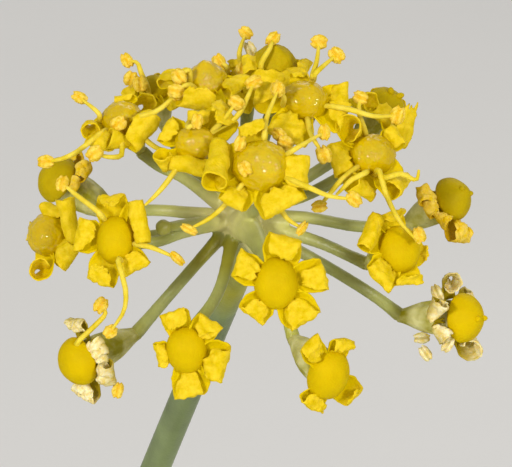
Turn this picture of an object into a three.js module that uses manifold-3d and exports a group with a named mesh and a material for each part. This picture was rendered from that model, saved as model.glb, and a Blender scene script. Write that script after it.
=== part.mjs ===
// A flowering fennel plant in a round terracotta pot. Millimetres, +Z up, origin under the middle of the
// pot. The front is the -Y side. One umbellet of the side umbel, at the front, is built flower by flower.
import * as THREE from "three";
import { mergeVertices } from "three/addons/utils/BufferGeometryUtils.js";
import Module from "manifold-3d";

const wasm = await Module();
wasm.setup();

// Pot and soil
const POT_HEIGHT = 120;
const POT_SIDES = 28;
const POT_FOOT_RADIUS = 47;
const POT_NECK_RADIUS = 64;
const POT_RIM_RADIUS = 70;
const POT_RIM_HEIGHT = 24;
const POT_MOUTH_RADIUS = 64.5;
const POT_FLOOR_RADIUS = 42;
const POT_FLOOR = 7;
const POT_FOOT_CHAMFER = 1.5;
const POT_RIM_TAPER = 1;
const POT_RIM_CHAMFER = 2;
const DRAIN_HOLES = 3;
const DRAIN_HOLE_RADIUS = 5;
const DRAIN_HOLE_CIRCLE = 26;
const SOIL_TOP = 105;
const SOIL_CROWN = 3;
const SOIL_SHOULDER = { out: 0.6, up: 0.8 };
const STEM_HOLE_TOP_NODE = 1.6;
const BASAL_HOLE_LENGTH = 40;
const BASAL_HOLE_WIDER = { foot: 2, top: 2.2 };
const GAP = 0.35;

// Stem
const STEM_ROOT_Z = 72;
const STEM_BASE_RADIUS = 3.7;
const STEM_TOP_RADIUS = 1.9;
const STEM_SIDES = 7;
const BRANCH_BASE_RADIUS = 1.9;
const BRANCH_TOP_RADIUS = 1.2;
const BRANCH_SIDES = 6;
const RAY_RADIUS = 0.62;
const RAY_SIDES = 4;
const RAY_SAG = 0.07;
const UMBEL_KNOB = 2.6;
const UMBEL_KNOB_HEIGHT = 0.8;
const STEM_NODES = [
  [-4, 3, STEM_ROOT_Z],
  [-5, 3, 106],
  [-4, 2, 140],
  [-7, 5, 172],
  [-5, 5, 208],
  [-10, 8, 246],
  [-12, 8, 288],
  [-18, 12, 328],
  [-22, 14, 374],
];
const BRANCH_FROM_NODE = 5.55;
const BRANCH_ROUTE = [
  [-3, 1, 281],
  [9, -9, 298],
  [26, -22, 318],
];

// Rays of the umbels as [azimuth, elevation, length] from the umbel's base
const TOP_RAYS = [
  [40, 84, 36],
  [150, 55, 37],
  [275, 52, 38],
  [30, 50, 38],
  [95, 30, 40],
  [200, 24, 42],
  [325, 26, 40],
];
const SIDE_RAYS = [
  [186, 32, 35],
  [130, 38, 33],
  [12, 14, 37],
  [234, 22, 33],
];

// Front umbellet: its hub, its stalks, and the way that it is seen
const FRONT_HUB = [35.5, -46.7, 354.3];
const VIEW_DOWN_DEGREES = 20;
const VIEW_DISTANCE = 180;
const FRONT_RAY_RADIUS = 0.68;
const FRONT_RAY_AXIS = [0.21, 0.57, 0.79];
const FRONT_RAY_STRAIGHT = 22;
const FRONT_HUB_RADIUS = 1.3;
const FRONT_SPACE = 13;
const PEDICEL_RADIUS = 0.34;
const PEDICEL_ROOT = 0.95;
const PEDICEL_BEND = 0.55;
const PEDICEL_SAG = 0.6;
const OVARY_LENGTH = 1.25;
const PETAL_REACH = 1.75;
const FILAMENT_RADIUS = 0.17;
const FILAMENT_FOOT = 0.6;
const ANTHER_RADIUS = 0.34;
const ANTHER_HALF_LENGTH = 0.35;
const BUD_RADIUS = 0.4;
const BUD_NECK_RADIUS = 0.26;
const FRONT_BUD = [-2.96, -0.44, 1.8];

// Its flowers. at is the middle of the nectar dome, in mm from the hub to the right, up and towards the
// viewer as they look from VIEW_DISTANCE; faces is the way it looks; dome is the dome's radius, and turn is
// the angle of the first petal. The anthers are placed in the same way, under the flower's number.
const FRONT_FLOWERS = [
  { at: [1.0, 1.88, 8.0], faces: [0.05, 0.15, 1], dome: 1.0, turn: 0 },
  { at: [-1.68, 3.0, 6.5], faces: [-0.15, 0.1, 1], dome: 0.8, turn: 30 },
  { at: [-4.64, 3.96, 3.8], faces: [-0.25, 0.2, 1], dome: 0.76, turn: 20 },
  { at: [-3.56, 4.92, 0.6], faces: [-0.3, 0.8, 0.5], dome: 0.76, turn: 50 },
  { at: [-1.2, 5.6, 4.0], faces: [-0.05, 0.7, 0.7], dome: 0.7, turn: 10 },
  { at: [0.24, 5.8, 0.3], faces: [0.0, 0.8, 0.5], dome: 0.72, turn: 40 },
  { at: [1.52, 6.4, 2.8], faces: [0.1, 0.9, 0.35], dome: 0.76, turn: 15 },
  { at: [2.68, 4.72, 5.3], faces: [0.1, 0.35, 1], dome: 0.84, turn: 30 },
  { at: [5.4, 2.56, 5.0], faces: [0.2, 0.2, 1], dome: 0.88, turn: 20 },
  { at: [6.04, 4.6, 1.5], faces: [0.6, 0.7, 0.3], dome: 0.84, turn: 0 },
  { at: [8.6, 0.76, 0.8], faces: [0.9, 0.3, 0.2], dome: 0.84, turn: 30 },
  { at: [6.52, -1.2, 4.4], faces: [0.3, 0.0, 0.95], dome: 0.84, turn: 30 },
  { at: [9.12, -4.04, 1.5], faces: [0.8, -0.35, 0.5], dome: 0.8, turn: 10 },
  { at: [3.64, -6.2, 4.0], faces: [0.25, -0.6, 0.75], dome: 0.86, turn: 35 },
  { at: [1.64, -2.6, 7.2], faces: [0.1, -0.2, 1], dome: 0.92, turn: 10 },
  { at: [-2.0, -5.28, 5.2], faces: [-0.15, -0.5, 0.85], dome: 0.86, turn: 20 },
  { at: [-6.36, -5.68, 1.5], faces: [-0.65, -0.6, 0.45], dome: 0.84, turn: 0 },
  { at: [-7.4, -0.48, 2.8], faces: [-0.75, 0.0, 0.65], dome: 0.88, turn: 15 },
  { at: [-4.8, -0.76, 6.0], faces: [-0.35, 0.05, 0.93], dome: 0.86, turn: 20 },
  { at: [-7.28, 1.9, -1.0], faces: [-0.9, 0.35, -0.1], dome: 0.76, turn: 25 },
];
const FRONT_ANTHERS = {
  1: [
    [2.64, -0.44, 8.3],
    [4.72, 0.72, 8.6],
    [-1.88, -0.48, 7.9],
    [3.52, 3.4, 7.4],
    [1.68, 5.12, 6.9],
  ],
  2: [[0.0, 4.6, 5.9], [-2.6, 1.5, 7.2]],
  3: [[-7.64, 2.24, 4.2], [-5.68, 2.56, 5.8], [-2.44, 4.96, 4.9], [-6.28, 4.8, 3.6]],
  4: [[-4.4, 6.32, 0.5]],
  5: [[-2.28, 5.9, 5.4]],
  6: [[-0.72, 6.9, 0.9], [0.32, 7.4, 0.0]],
  7: [[1.48, 7.6, 2.0]],
  8: [[3.28, 7.04, 4.6], [4.2, 6.4, 5.0], [6.44, 4.08, 5.4], [3.32, 2.52, 6.8]],
  9: [[3.32, 0.44, 6.4], [6.3, 0.5, 5.7]],
  12: [[7.3, -0.7, 6.0]],
  17: [[-5.44, -3.9, 1.7], [-4.9, -6.96, 2.2]],
  19: [[-6.96, 1.2, 5.9], [-2.5, -1.64, 6.9]],
};

// Other umbellets: flowers on pedicels round a hub
const HUB_RADIUS = 1.1;
const UMBELLET_REACH = 6.9;
const UMBELLET_LEAN = 0.3;
const UMBELLET_PEDICEL = 0.36;
const PEDICEL_WEB = 0.9;
const FLOWER_RADIUS = 1.75;
const FLOWER_NECK = 1.1;
const FLOWER_DOME = 0.8;
const LOWEST_FLOWER = -0.5;

// Fronds: the sheath round the stem, the rachis, and the pinnae with their threads. A value of the form
// { from, over } grows or varies by up to over. A pinna's length is a share of the frond's.
const SHEATH_HEIGHT = 19;
const SHEATH_WALL = 0.9;
const SHEATH_SIDES = 7;
const SHEATH_FIT = 0.8;
const SHEATH_BULGE = 0.5;
const SHEATH_MOUTH_WALL = 0.7;
const SHEATH_CORE = 0.86;
const SHEATH_CORE_SPARE = 4;
const LEAF_ABOVE_FOOT = 5;
const STEM_FROND_RADIUS = 1.5;
const RACHIS_START = 0.36;
const RACHIS_END = 0.96;
const RACHIS_END_RADIUS = 0.6;
const STALK_STEPS = 4;
const PINNA_FORWARD = 0.62;
const PINNA_OUTWARD = 0.72;
const PINNA_RISE = { from: 0.06, over: 0.32 };
const LAST_PINNA_RISE = { from: -0.1, over: 0.32 };
const PINNA_LENGTH = { from: 0.35, over: -0.17 };
const PINNA_VARIES = { from: 0.88, over: 0.24 };
const RIB = 0.5;
const RIB_HALF_THICK = 0.38;
const THREAD_HALF_THICK = 0.3;
const THREAD_WIDTH = 1.2;
const THREAD_PLACES = { from: 0.16, over: 0.64 };
const THREAD_REACH = { from: 0.52, over: -0.3 };
const THREAD_VARIES = { from: 0.85, over: 0.35 };
const THREAD_SLOPE = { from: 0.7, over: 0.35 };
const THREAD_LIFT = { from: -0.4, over: 1.1 };
const CLEARANCE = 0.5;
const CLEAR_TEST_STEP = 1.2;
const SHORTEST_SHARE = 0.25;
const SHORTER = 0.85;

// The frond's outline laid out flat, before its points go to their places
const FLAT_STEP = 16;
const FLAT_ZIGZAG = 8;
const FLAT_THREAD = 1.6;
const FLAT_THREAD_STEP = 3;
const FLAT_THREAD_FOOT = 0.6;

// Stem fronds: the stem node that each grows from, and where it goes
const STEM_FRONDS = [
  { node: 2, azimuth: 205, length: 165, rise: 52, droop: 8, pairs: 4, threads: 4 },
  { node: 3, azimuth: 350, length: 155, rise: 48, droop: 2, pairs: 4, threads: 4 },
  { node: 4, azimuth: 118, length: 140, rise: 50, droop: 5, pairs: 4, threads: 4 },
  { node: 5, azimuth: 318, length: 92, rise: 8, droop: -22, pairs: 3, threads: 4 },
  { node: 6, azimuth: 178, length: 92, rise: 52, droop: 14, pairs: 3, threads: 4 },
  { node: 7, azimuth: 70, length: 62, rise: 40, droop: 0, pairs: 2, threads: 4 },
];

// Basal fronds, which rise out of the soil round the stem
const BASAL_FRONDS = [
  { azimuth: 28, length: 205, rise: 76, droop: 32 },
  { azimuth: 92, length: 190, rise: 74, droop: 26 },
  { azimuth: 160, length: 215, rise: 77, droop: 30 },
  { azimuth: 250, length: 200, rise: 74, droop: 24 },
  { azimuth: 300, length: 175, rise: 70, droop: 12 },
];
const BASAL_CIRCLE = 13;
const BASAL_FOOT_Z = 92;
const BASAL_STALK_RADIUS = 1.6;
const BASAL_PAIRS = 4;
const BASAL_THREADS = 4;

const finish = (color, roughness) => new THREE.MeshStandardMaterial({ color, roughness, metalness: 0 });
const terracotta = finish(0xb5653c, 0.85);
const pottingSoil = finish(0x3a2a1e, 0.95);
const stemGreen = finish(0x7f9a5e, 0.6);
const frondGreen = finish(0x5f8a3a, 0.6);
const flowerYellow = finish(0xe6cf2a, 0.45);
const pedicelGreen = finish(0xa3b06a, 0.55);

const vector = (v) => new THREE.Vector3(...v);
const radians = (degrees) => THREE.MathUtils.degToRad(degrees);
const between = ({ from, over }, share) => from + over * share;
const UP = new THREE.Vector3(0, 0, 1);

// A closed geometry as a solid: only its places are kept, and faces without area are dropped.
function solidOf(geometry) {
  const bare = new THREE.BufferGeometry();
  bare.setAttribute("position", geometry.getAttribute("position"));
  bare.setIndex(geometry.index);
  const merged = mergeVertices(bare, 1e-4);
  const corners = merged.index.array;
  const kept = [];
  for (let i = 0; i < corners.length; i += 3) {
    const [a, b, c] = [corners[i], corners[i + 1], corners[i + 2]];
    if (a !== b && b !== c && c !== a) kept.push(a, b, c);
  }
  const vertProperties = new Float32Array(merged.attributes.position.array);
  const triVerts = new Uint32Array(kept);
  return new wasm.Manifold(new wasm.Mesh({ numProp: 3, vertProperties, triVerts }));
}

function join(solids) {
  let row = solids;
  while (row.length > 1) {
    const next = [];
    for (let i = 0; i < row.length; i += 2) {
      next.push(i + 1 < row.length ? row[i].add(row[i + 1]) : row[i]);
    }
    row = next;
  }
  return row[0];
}

function meshOf(name, solid, material) {
  const made = solid.getMesh();
  const geometry = new THREE.BufferGeometry();
  geometry.setAttribute("position", new THREE.BufferAttribute(made.vertProperties, 3));
  geometry.setIndex(new THREE.BufferAttribute(made.triVerts, 1));
  geometry.computeVertexNormals();
  const mesh = new THREE.Mesh(geometry, material);
  mesh.name = name;
  return mesh;
}

// A rod along a curve, from one radius to another; an end radius of 0 makes a point.
function rod(curve, startRadius, endRadius, sides, steps) {
  const shape = new THREE.CylinderGeometry(endRadius > 0 ? 1 : 0, 1, 1, sides, steps);
  const places = shape.getAttribute("position");
  const chord = curve.getPoint(1).sub(curve.getPoint(0)).normalize();
  const reference = Math.abs(chord.z) < 0.8 ? UP : new THREE.Vector3(1, 0, 0);
  for (let i = 0; i < places.count; i++) {
    const t = places.getY(i) + 0.5;
    const out = Math.hypot(places.getX(i), places.getZ(i));
    const radius = out > 1e-6 ? (startRadius + (endRadius - startRadius) * t) / out : 0;
    const tangent = curve.getTangent(t);
    const across = reference.clone().addScaledVector(tangent, -reference.dot(tangent)).normalize();
    const beside = across.clone().cross(tangent);
    const at = curve.getPoint(t).addScaledVector(across, places.getX(i) * radius);
    at.addScaledVector(beside, places.getZ(i) * radius);
    places.setXYZ(i, at.x, at.y, at.z);
  }
  return solidOf(shape);
}

const straight = (from, to) => new THREE.LineCurve3(from, to);
const bend = (from, by, to) => new THREE.QuadraticBezierCurve3(from, by, to);

function ball(centre, radius, around, down, flatten = 1) {
  const shape = new THREE.SphereGeometry(radius, around, down).rotateX(Math.PI / 2);
  return solidOf(shape.scale(1, 1, flatten).translate(centre.x, centre.y, centre.z));
}

// A profile of [radius, height] pairs turned round the Z axis.
function turned(profile, segments) {
  const points = profile.map(([radius, height]) => new THREE.Vector2(radius, height));
  return solidOf(new THREE.LatheGeometry(points, segments).rotateX(Math.PI / 2));
}

// Numbers between 0 and 1 that repeat for the same seed, from a linear congruence on 32 bits.
function randomFrom(seed) {
  const [factor, step, size] = [1664525, 1013904223, 2 ** 32];
  let state = seed;
  return () => {
    state = (Math.imul(state, factor) + step) >>> 0;
    return state / size;
  };
}

function heading(azimuth, elevation) {
  const [a, e] = [radians(azimuth), radians(elevation)];
  return new THREE.Vector3(Math.cos(e) * Math.cos(a), Math.cos(e) * Math.sin(a), Math.sin(e));
}

// The space that is taken so far, as rods: a thread of a frond that would touch one is left off.
const taken = [];

function isClear(from, to, radius) {
  const steps = Math.max(2, Math.ceil(from.distanceTo(to) / CLEAR_TEST_STEP));
  const nearest = new THREE.Vector3();
  for (let i = 0; i <= steps; i++) {
    const at = from.clone().lerp(to, i / steps);
    for (const other of taken) {
      other.line.closestPointToPoint(at, true, nearest);
      if (nearest.distanceTo(at) < other.radius + radius + CLEARANCE) return false;
    }
  }
  return true;
}

function take(curve, radius, steps) {
  const points = curve.getPoints(steps);
  for (let i = 0; i < steps; i++) {
    taken.push({ line: new THREE.Line3(points[i], points[i + 1]), radius });
  }
}

function mouthRadius(z) {
  const share = (z - POT_FLOOR) / (POT_HEIGHT - POT_FLOOR);
  return POT_FLOOR_RADIUS + (POT_MOUTH_RADIUS - POT_FLOOR_RADIUS) * share;
}

function pot() {
  const band = POT_HEIGHT - POT_RIM_HEIGHT;
  const outside = [
    [0, 0],
    [POT_FOOT_RADIUS - POT_FOOT_CHAMFER, 0],
    [POT_FOOT_RADIUS, POT_FOOT_CHAMFER],
    [POT_NECK_RADIUS, band],
    [POT_RIM_RADIUS - POT_RIM_TAPER, band],
    [POT_RIM_RADIUS, POT_HEIGHT - POT_RIM_CHAMFER],
    [POT_RIM_RADIUS - POT_RIM_CHAMFER, POT_HEIGHT],
  ];
  const inside = [
    [POT_MOUTH_RADIUS, POT_HEIGHT],
    [POT_FLOOR_RADIUS, POT_FLOOR],
    [0, POT_FLOOR],
  ];
  let solid = turned([...outside, ...inside], POT_SIDES);
  for (let i = 0; i < DRAIN_HOLES; i++) {
    const at = heading((i * 360) / DRAIN_HOLES, 0).multiplyScalar(DRAIN_HOLE_CIRCLE);
    const hole = new THREE.CylinderGeometry(DRAIN_HOLE_RADIUS, DRAIN_HOLE_RADIUS, 4 * POT_FLOOR, 12);
    solid = solid.subtract(solidOf(hole.rotateX(Math.PI / 2).translate(at.x, at.y, 0)));
  }
  return meshOf("pot", solid, terracotta);
}

// The soil fills the pot up to a low crown, with a plain hole for each thing that grows out of it.
function soil(stemCurve, basalFronds) {
  const low = POT_FLOOR + GAP;
  const profile = [
    [0, low],
    [mouthRadius(low) - GAP, low],
    [mouthRadius(SOIL_TOP) - GAP, SOIL_TOP],
    [mouthRadius(SOIL_TOP) * SOIL_SHOULDER.out, SOIL_TOP + SOIL_CROWN * SOIL_SHOULDER.up],
    [0, SOIL_TOP + SOIL_CROWN],
  ];
  let solid = turned(profile, POT_SIDES);
  const stemStart = stemCurve.getPoint(0);
  const stemEnd = stemCurve.getPoint(stemAt(STEM_HOLE_TOP_NODE));
  stemStart.z -= GAP;
  const stemHole = STEM_BASE_RADIUS + 3 * GAP;
  solid = solid.subtract(rod(straight(stemStart, stemEnd), stemHole, stemHole, 10, 1));
  for (const frond of basalFronds) {
    const foot = frond.curve.getPoint(0);
    const along = frond.curve.getTangent(0);
    const start = foot.clone().addScaledVector(along, -GAP);
    const end = foot.clone().addScaledVector(along, BASAL_HOLE_LENGTH);
    const footRadius = BASAL_HOLE_WIDER.foot * frond.radius;
    const topRadius = BASAL_HOLE_WIDER.top * frond.radius;
    solid = solid.subtract(rod(straight(start, end), footRadius, topRadius, 8, 1));
  }
  return meshOf("soil", solid, pottingSoil);
}

const stemCurve = new THREE.CatmullRomCurve3(STEM_NODES.map(vector), false, "centripetal");
const stemAt = (node) => node / (STEM_NODES.length - 1);
const stemRadius = (t) => STEM_BASE_RADIUS + (STEM_TOP_RADIUS - STEM_BASE_RADIUS) * t;
const topUmbel = vector(STEM_NODES.at(-1));
const sideUmbel = vector(BRANCH_ROUTE.at(-1));

function rayCurve(base, [azimuth, elevation, length]) {
  const along = heading(azimuth, elevation);
  const end = base.clone().addScaledVector(along, length);
  const by = base.clone().addScaledVector(along, length * 0.4);
  by.z -= length * RAY_SAG;
  return bend(base, by, end);
}

function stem() {
  const steps = 2 * (STEM_NODES.length - 1);
  const pieces = [rod(stemCurve, STEM_BASE_RADIUS, STEM_TOP_RADIUS, STEM_SIDES, steps)];
  take(stemCurve, STEM_BASE_RADIUS, 24);
  const from = stemCurve.getPoint(stemAt(BRANCH_FROM_NODE));
  const branch = new THREE.CatmullRomCurve3([from, ...BRANCH_ROUTE.map(vector)]);
  pieces.push(rod(branch, BRANCH_BASE_RADIUS, BRANCH_TOP_RADIUS, BRANCH_SIDES, 6));
  take(branch, BRANCH_BASE_RADIUS, 8);
  for (const umbel of [topUmbel, sideUmbel]) pieces.push(ball(umbel, UMBEL_KNOB, 8, 5, UMBEL_KNOB_HEIGHT));
  const topRays = TOP_RAYS.map((ray) => rayCurve(topUmbel, ray));
  const sideRays = SIDE_RAYS.map((ray) => rayCurve(sideUmbel, ray));
  for (const ray of [...topRays, ...sideRays]) {
    const end = ray.getPoint(1);
    const short = end.clone().addScaledVector(ray.getTangent(1), -(HUB_RADIUS + GAP));
    const start = ray.v0.clone().lerp(ray.v1, (0.6 * UMBEL_KNOB) / ray.v0.distanceTo(ray.v1));
    pieces.push(rod(bend(start, ray.v1, short), RAY_RADIUS, RAY_RADIUS, RAY_SIDES, 2));
    take(ray, 1, 4);
    take(straight(end, end.clone().addScaledVector(ray.getTangent(1), 4)), UMBELLET_REACH + 2, 1);
  }
  return meshOf("stem", join(pieces), stemGreen);
}

// A five-lobed flower from rows of [radius at a lobe, height, radius at a notch], from the bottom pole up.
function lobed(rows, columns) {
  const perLobe = columns / 5;
  const profile = rows.map(([radius, z]) => new THREE.Vector2(radius, z));
  const shape = new THREE.LatheGeometry(profile, columns).rotateX(Math.PI / 2);
  const places = shape.getAttribute("position");
  for (let i = 0; i < places.count; i++) {
    const [radius, , notch] = rows[i % rows.length];
    const column = Math.floor(i / rows.length) % columns;
    const share = column % perLobe === 0 && radius > 0 ? notch / radius : 1;
    places.setXYZ(i, places.getX(i) * share, places.getY(i) * share, places.getZ(i));
  }
  return shape;
}

// The faces between two closed rings of points that go round the same way from the same side.
function band(narrow, wider) {
  const faces = [];
  let n = 0;
  for (let w = 0; w < wider.length; w++) {
    const [from, to] = [wider[w], wider[(w + 1) % wider.length]];
    faces.push([narrow[n % narrow.length], to, from]);
    while (n < Math.round(((w + 1) * narrow.length) / wider.length)) {
      faces.push([narrow[n % narrow.length], narrow[(n + 1) % narrow.length], to]);
      n++;
    }
  }
  return faces;
}

// Points round an axis from the origin, at a height along it, the first on the side of a given point.
function ring(first, axis, radius, count, height) {
  const out = first.clone().addScaledVector(axis, -first.dot(axis)).setLength(radius);
  const middle = axis.clone().multiplyScalar(height);
  return Array.from({ length: count }, (_, i) => {
    return out.clone().applyAxisAngle(axis, (i * 2 * Math.PI) / count).add(middle);
  });
}

// A pedicel grows out of each upper face of the hub, and opens into a five-petalled flower.
function umbelletGeometry(seed) {
  const random = randomFrom(seed);
  const hub = new THREE.IcosahedronGeometry(HUB_RADIUS).rotateZ(2 * Math.PI * random());
  const corners = hub.getAttribute("position");
  const faces = [];
  for (let i = 0; i < corners.count; i += 3) {
    const root = [0, 1, 2].map((k) => new THREE.Vector3().fromBufferAttribute(corners, i + k));
    const out = root[0].clone().add(root[1]).add(root[2]).normalize();
    if (out.y < LOWEST_FLOWER) {
      faces.push(root);
      continue;
    }
    const lean = new THREE.Vector3(random() - 0.5, random() - 0.2, random() - 0.5);
    const axis = out.clone().addScaledVector(lean, UMBELLET_LEAN).normalize();
    const reach = UMBELLET_REACH * (0.88 + 0.2 * random());
    const low = ring(root[0], axis, UMBELLET_PEDICEL, 3, HUB_RADIUS + PEDICEL_WEB);
    const neck = ring(root[0], axis, UMBELLET_PEDICEL, 3, reach - FLOWER_NECK);
    const petals = ring(root[0], axis, FLOWER_RADIUS, 5, reach);
    const top = axis.clone().multiplyScalar(reach + FLOWER_DOME);
    faces.push(...band(root, low), ...band(low, neck), ...band(neck, petals));
    petals.forEach((petal, k) => faces.push([petal, petals[(k + 1) % 5], top]));
  }
  const shape = new THREE.BufferGeometry().setFromPoints(faces.flat());
  return mergeVertices(shape.rotateX(Math.PI / 2), 1e-4);
}

function umbellet(name, seed, ray) {
  const mesh = meshOf(name, solidOf(umbelletGeometry(seed)), flowerYellow);
  mesh.position.copy(ray.getPoint(1));
  mesh.quaternion.setFromUnitVectors(UP, ray.getTangent(1));
  return mesh;
}

// A place of the flower table as it is in space. What is nearer looks bigger, so it lies closer to the line
// of sight than it seems.
function seen([right, up, toward]) {
  const nearer = (VIEW_DISTANCE - toward) / VIEW_DISTANCE;
  return new THREE.Vector3(right * nearer, up * nearer, toward);
}

// The nectar dome, a groove, the five rolled petals round it, and the ovary below.
function frontFlower({ dome, turn }) {
  const rows = [
    [0, -OVARY_LENGTH, 0],
    [0.72 * dome, -0.35, 0.72 * dome],
    [PETAL_REACH, 0.0, 0.95 * dome],
    [0.7 * PETAL_REACH, 0.42, 0.9 * dome],
    [0.98 * dome, 0.05, 0.98 * dome],
    [0.72 * dome, 0.5 * dome, 0.72 * dome],
    [0, 0.75 * dome, 0],
  ];
  return solidOf(lobed(rows, 15).rotateZ(radians(turn)));
}

function facingFrame(flower) {
  const z = vector(flower.faces).normalize();
  const x = new THREE.Vector3(1, 0.01, 0).addScaledVector(z, -z.x).normalize();
  const y = z.clone().cross(x).normalize();
  x.crossVectors(y, z);
  return new THREE.Matrix4().makeBasis(x, y, z).setPosition(seen(flower.at));
}

// A stamen from inside the dome to its anther, both in the flower's own frame.
function stamen(anther, dome) {
  const foot = new THREE.Vector3(anther.x, anther.y, 0).setLength(FILAMENT_FOOT * dome);
  const length = foot.distanceTo(anther);
  const profile = [
    new THREE.Vector2(0, 0),
    new THREE.Vector2(FILAMENT_RADIUS, 0.1),
    new THREE.Vector2(FILAMENT_RADIUS, length - ANTHER_HALF_LENGTH),
    new THREE.Vector2(ANTHER_RADIUS, length),
    new THREE.Vector2(0, length + ANTHER_HALF_LENGTH),
  ];
  const shape = new THREE.LatheGeometry(profile, 3).rotateX(Math.PI / 2);
  const way = anther.clone().sub(foot).normalize();
  shape.applyQuaternion(new THREE.Quaternion().setFromUnitVectors(UP, way));
  return solidOf(shape.translate(foot.x, foot.y, foot.z));
}

function frontFlowers() {
  return FRONT_FLOWERS.map((flower, i) => {
    const frame = facingFrame(flower);
    const back = frame.clone().invert();
    const anthers = (FRONT_ANTHERS[i + 1] ?? []).map((place) => seen(place).applyMatrix4(back));
    const stamens = anthers.map((anther) => stamen(anther, flower.dome));
    const solid = join([frontFlower(flower), ...stamens]);
    const mesh = meshOf(`front_flower_${String(i + 1).padStart(2, "0")}`, solid, flowerYellow);
    frame.decompose(mesh.position, mesh.quaternion, mesh.scale);
    return mesh;
  });
}

// The ray of the front umbellet from the side umbel's knob, the hub, the pedicels and the bud.
function frontStalks(toLocal) {
  const hub = new THREE.Vector3(0, 0, 0);
  const foot = sideUmbel.clone().applyMatrix4(toLocal);
  foot.add(hub.clone().sub(foot).setLength(UMBEL_KNOB + GAP));
  const below = vector(FRONT_RAY_AXIS).setLength(FRONT_RAY_STRAIGHT).negate();
  const pieces = [rod(bend(foot, below, hub), FRONT_RAY_RADIUS, FRONT_RAY_RADIUS, 6, 4)];
  pieces.push(ball(hub, FRONT_HUB_RADIUS, 8, 5));
  for (const flower of FRONT_FLOWERS) {
    const facing = vector(flower.faces).normalize();
    const end = seen(flower.at).addScaledVector(facing, -(OVARY_LENGTH + GAP));
    const by = end.clone().multiplyScalar(PEDICEL_BEND).addScaledVector(facing, -PEDICEL_SAG);
    const start = by.clone().setLength(PEDICEL_ROOT);
    pieces.push(rod(bend(start, by, end), PEDICEL_RADIUS, PEDICEL_RADIUS, 3, 2));
  }
  const bud = seen(FRONT_BUD);
  const budRoot = bud.clone().setLength(PEDICEL_ROOT);
  pieces.push(rod(straight(budRoot, bud), PEDICEL_RADIUS, BUD_NECK_RADIUS, 4, 1));
  pieces.push(ball(bud, BUD_RADIUS, 5, 3));
  return meshOf("front_umbellet_stalks", join(pieces), pedicelGreen);
}

function frontUmbellet() {
  const group = new THREE.Group();
  group.position.copy(vector(FRONT_HUB));
  group.rotation.x = radians(90 - VIEW_DOWN_DEGREES);
  group.updateMatrix();
  group.add(frontStalks(group.matrix.clone().invert()), ...frontFlowers());
  taken.push({ line: new THREE.Line3(vector(FRONT_HUB), vector(FRONT_HUB)), radius: FRONT_SPACE });
  take(straight(sideUmbel, vector(FRONT_HUB)), 1.2, 1);
  return group;
}

// A frond is one blade whose outline is cut into threads down each side of each pinna, with the pinnae in
// pairs down each side of the rachis. The outline is laid out flat, and each point then goes to its place.
// A point is { flat: [x, y], at: its place, half: half the thickness, normal: the way the blade faces }.

// Laid out flat, the rachis zigzags from step to step, so that no face reaches past a step where it bends.
const flatNode = (step) => [FLAT_STEP * step, FLAT_ZIGZAG * (step % 2)];

// The share of a rib's or thread's length that keeps it clear of what is there already.
function clearShare(from, way, length) {
  let share = 1;
  const tip = () => from.clone().addScaledVector(way, share * length);
  while (share > SHORTEST_SHARE && !isClear(from, tip(), RIB)) share *= SHORTER;
  return share;
}

// Where pinna i starts and which way it goes; hand is -1 or 1 for a side of the rachis, and 0 at its end.
function pinnaFrame(frond, i, hand, random) {
  const t = RACHIS_START + ((RACHIS_END - RACHIS_START) * i) / frond.pairs;
  const foot = frond.curve.getPoint(t);
  const along = frond.curve.getTangent(t);
  const side = UP.clone().cross(along).normalize();
  const above = along.clone().cross(side);
  const rise = between(hand ? PINNA_RISE : LAST_PINNA_RISE, random());
  const way = along.clone().multiplyScalar(hand ? PINNA_FORWARD : 1);
  way.addScaledVector(side, hand * PINNA_OUTWARD).addScaledVector(above, rise).normalize();
  const full = frond.length * between(PINNA_LENGTH, i / frond.pairs) * between(PINNA_VARIES, random());
  const length = full * clearShare(foot, way, full);
  const beside = above.clone().cross(way).normalize();
  return { foot, way, beside, normal: way.clone().cross(beside), length };
}

function pinnaPoints(frond, i, hand, random, blade) {
  const { foot, way, beside, normal, length } = pinnaFrame(frond, i, hand, random);
  const flatFoot = flatNode(STALK_STEPS + i);
  const flatWay = hand ? [0, hand] : [1, 0];
  const flatSide = hand ? [-hand, 0] : [0, 1];
  const point = (u, v, lift, flatU, flatV) => ({
    flat: [0, 1].map((k) => flatFoot[k] + flatWay[k] * flatU + flatSide[k] * flatV),
    at: foot.clone().addScaledVector(way, u).addScaledVector(beside, v).addScaledVector(normal, lift),
    half: Math.abs(v) > 1 ? THREAD_HALF_THICK : RIB_HALF_THICK,
    normal,
  });
  const edges = { 1: [], "-1": [] };
  for (let k = 0; k < frond.threads; k++) {
    const edge = k % 2 ? -1 : 1;
    const at = length * between(THREAD_PLACES, k / (frond.threads - 1));
    const longest = length * THREAD_REACH.from + at * THREAD_REACH.over;
    const fullReach = longest * between(THREAD_VARIES, random());
    const slope = between(THREAD_SLOPE, random());
    const raised = between(THREAD_LIFT, random());
    const from = foot.clone().addScaledVector(way, at);
    const out = way.clone().multiplyScalar(Math.cos(slope));
    out.addScaledVector(beside, edge * Math.sin(slope)).addScaledVector(normal, raised);
    const reach = fullReach * clearShare(from, out, fullReach);
    const [ahead, aside] = [reach * Math.cos(slope), reach * Math.sin(slope)];
    const flatAt = FLAT_THREAD_STEP * (k + 1);
    edges[edge].push(
      point(at - THREAD_WIDTH / 2, edge * RIB, 0, flatAt - FLAT_THREAD_FOOT, edge * RIB),
      point(at + ahead, edge * aside, raised * reach, flatAt, edge * FLAT_THREAD),
      point(at + THREAD_WIDTH / 2, edge * RIB, 0, flatAt + FLAT_THREAD_FOOT, edge * RIB),
    );
    blade.lines.push([from, edges[edge].at(-2).at]);
  }
  const tip = point(length, 0, 0, FLAT_THREAD_STEP * (frond.threads + 2), 0);
  blade.lines.push([foot, tip.at]);
  return [...edges[-1], tip, ...edges[1].reverse()];
}

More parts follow.
